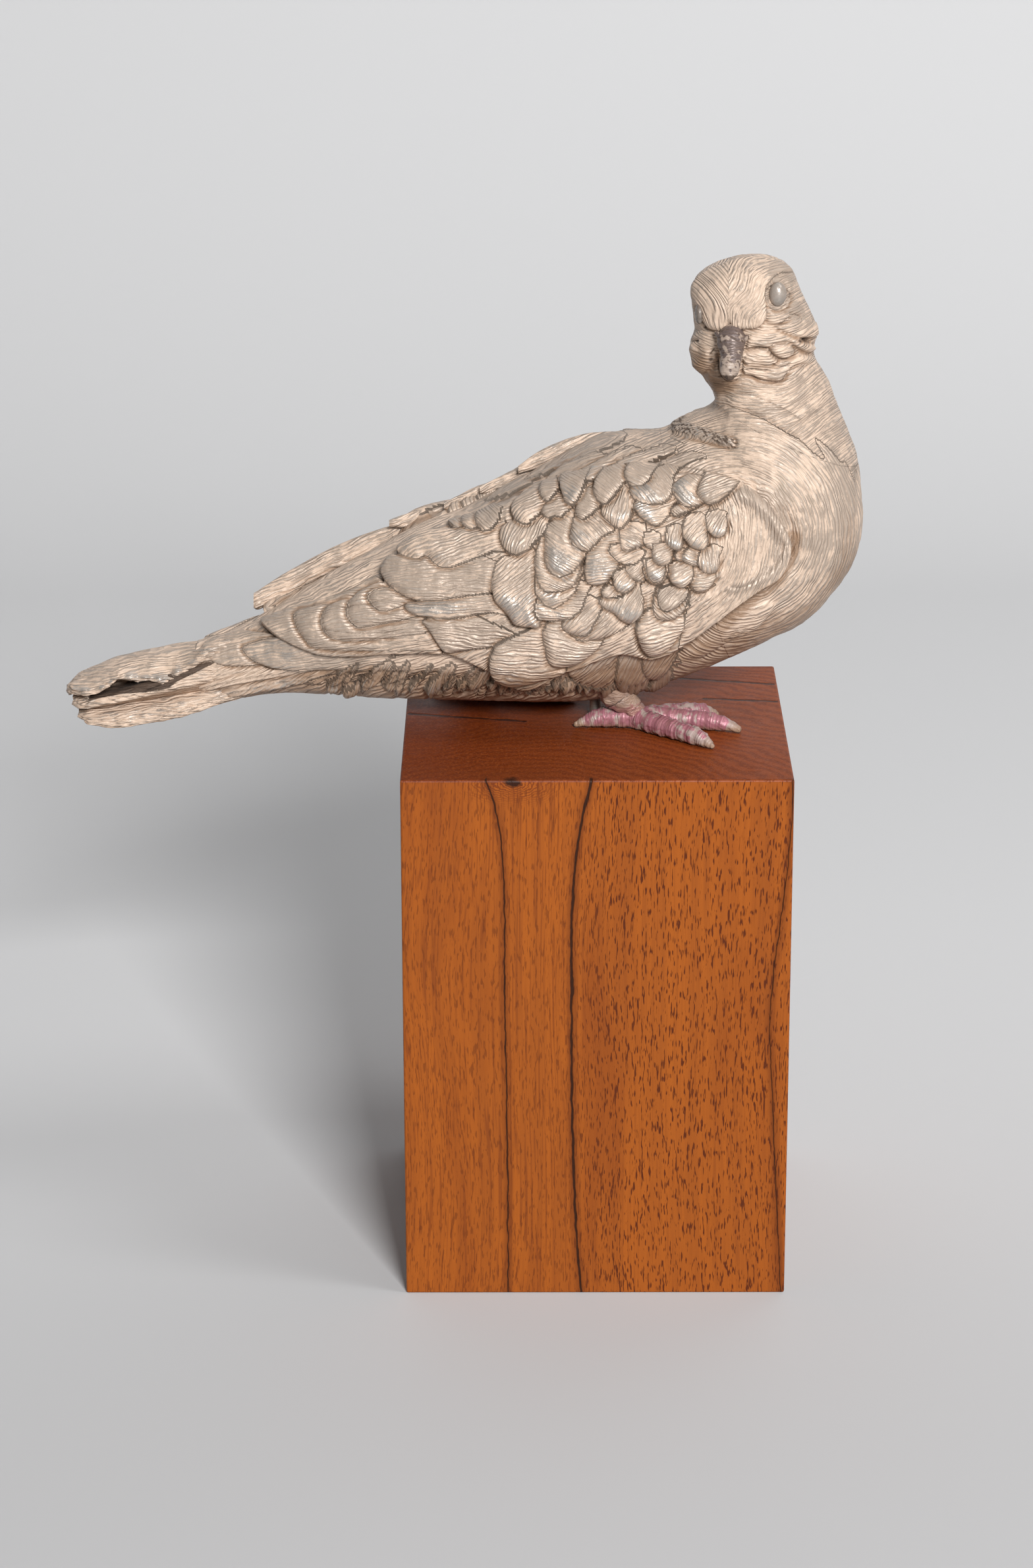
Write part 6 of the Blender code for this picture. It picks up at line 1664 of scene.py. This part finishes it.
def sweep(name, half_width, shaded_floor_colour, wall_colour):
    """A floor that turns up into a wall: a line, a quarter circle and a line, carried across x.

    Its colour goes from the floor's, darker as painted shade, to the wall's by an even rise over y."""
    arc = np.linspace(0, 0.5 * np.pi, 40)
    y = np.concatenate([[-6.0], SWEEP_BACK + SWEEP_RADIUS * np.sin(arc), [SWEEP_BACK + SWEEP_RADIUS]])
    z = np.concatenate([[0.0], SWEEP_RADIUS * (1 - np.cos(arc)), [6.0]])
    x = np.array([-half_width, half_width])
    points = np.stack([np.repeat(x, len(y)), np.tile(y, 2), np.tile(z, 2)], axis=-1)
    step = np.arange(len(y) - 1)
    faces = np.stack([step, step + len(y), step + len(y) + 1, step + 1], axis=-1)
    mesh = bpy.data.meshes.new(name)
    mesh.from_pydata(points.tolist(), [], faces.tolist())
    mesh.shade_smooth()
    paper, paper_tree, paper_shader = finish(name + "_paper")
    depth = node(paper_tree, "SeparateXYZ", {0: node(paper_tree, "TexCoord", output=3)}, output=1)
    shade = blend(paper_tree, rise(paper_tree, depth, -0.35, 0.40), shaded_floor_colour, wall_colour)
    paper_tree.links.new(shade, paper_shader.inputs["Base Color"])
    paper_shader.inputs["Roughness"].default_value = 0.9
    mesh.materials.append(paper)
    made = bpy.data.objects.new(name, mesh)
    bpy.context.scene.collection.objects.link(made)
    made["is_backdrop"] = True
    return made


def softbox(name, place, aim, size, power):
    """A square light at a place, turned towards a point."""
    lamp = bpy.data.lights.new(name, "AREA")
    lamp.size = size
    lamp.energy = power
    made = bpy.data.objects.new(name, lamp)
    made.location = place
    made.rotation_euler = (Vector(aim) - Vector(place)).to_track_quat("-Z", "Y").to_euler()
    bpy.context.scene.collection.objects.link(made)
    return made


sweep("backdrop", 8.0, SHADED_FLOOR_COLOUR, WALL_COLOUR)
softbox("key", (0.92, -3.85, 2.32), (0, 0, 0.25), 1.10, 262)
softbox("wall_fill", (1.3, -0.5, 2.4), (1.2, 1.65, 1.5), 1.0, 28)
world = bpy.data.worlds.new("studio")
bpy.context.scene.world = world
world.use_nodes = True
world.node_tree.nodes["Background"].inputs["Color"].default_value = (1.0, 1.0, 1.0, 1)
world.node_tree.nodes["Background"].inputs["Strength"].default_value = SURROUND
bpy.context.scene.view_settings.view_transform = "Standard"
print("studio lit")

# %% [markdown]
# ## Camera
#
# The camera stands a little over a metre and a half in front, well above the block,
# and looks down by about nineteen degrees. It was placed by matching the block's
# corners, which are the only straight lines in view.

# %% Camera
PITCH, YAW, ROLL = np.radians([19.36, -0.226, -0.171])
CAMERA_PLACE = (-0.02642, -1.67014, 0.78866)
FOCAL_LENGTH = 95.68
ahead = np.array([np.sin(YAW) * np.cos(PITCH), np.cos(YAW) * np.cos(PITCH), -np.sin(PITCH)])
right_hand = np.array([np.cos(YAW), -np.sin(YAW), 0.0])
upward = np.cross(right_hand, ahead)
level_right = np.cos(ROLL) * right_hand + np.sin(ROLL) * upward
level_up = -np.sin(ROLL) * right_hand + np.cos(ROLL) * upward
lens = bpy.data.cameras.new("camera")
lens.sensor_fit = "VERTICAL"
lens.sensor_height = 36.0
lens.sensor_width = 36.0
lens.lens = FOCAL_LENGTH
camera = bpy.data.objects.new("camera", lens)
camera.matrix_world = Matrix([
    [level_right[k], level_up[k], -ahead[k], CAMERA_PLACE[k]] for k in range(3)
] + [[0, 0, 0, 1]])
bpy.context.scene.collection.objects.link(camera)
bpy.context.scene.camera = camera
print("camera at", [round(v, 3) for v in camera.matrix_world.translation])

# %% [markdown]
#
# The dressed part has to keep the solids' size, so the boxes round both are printed. Carving may stand out past the
# solids by a fraction of a millimetre.

# %% Sizes
DRESSED_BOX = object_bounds()
for word, corner in zip(("from", "to"), DRESSED_BOX):
    print("the dressed part reaches", word, [round(v, 4) for v in corner])
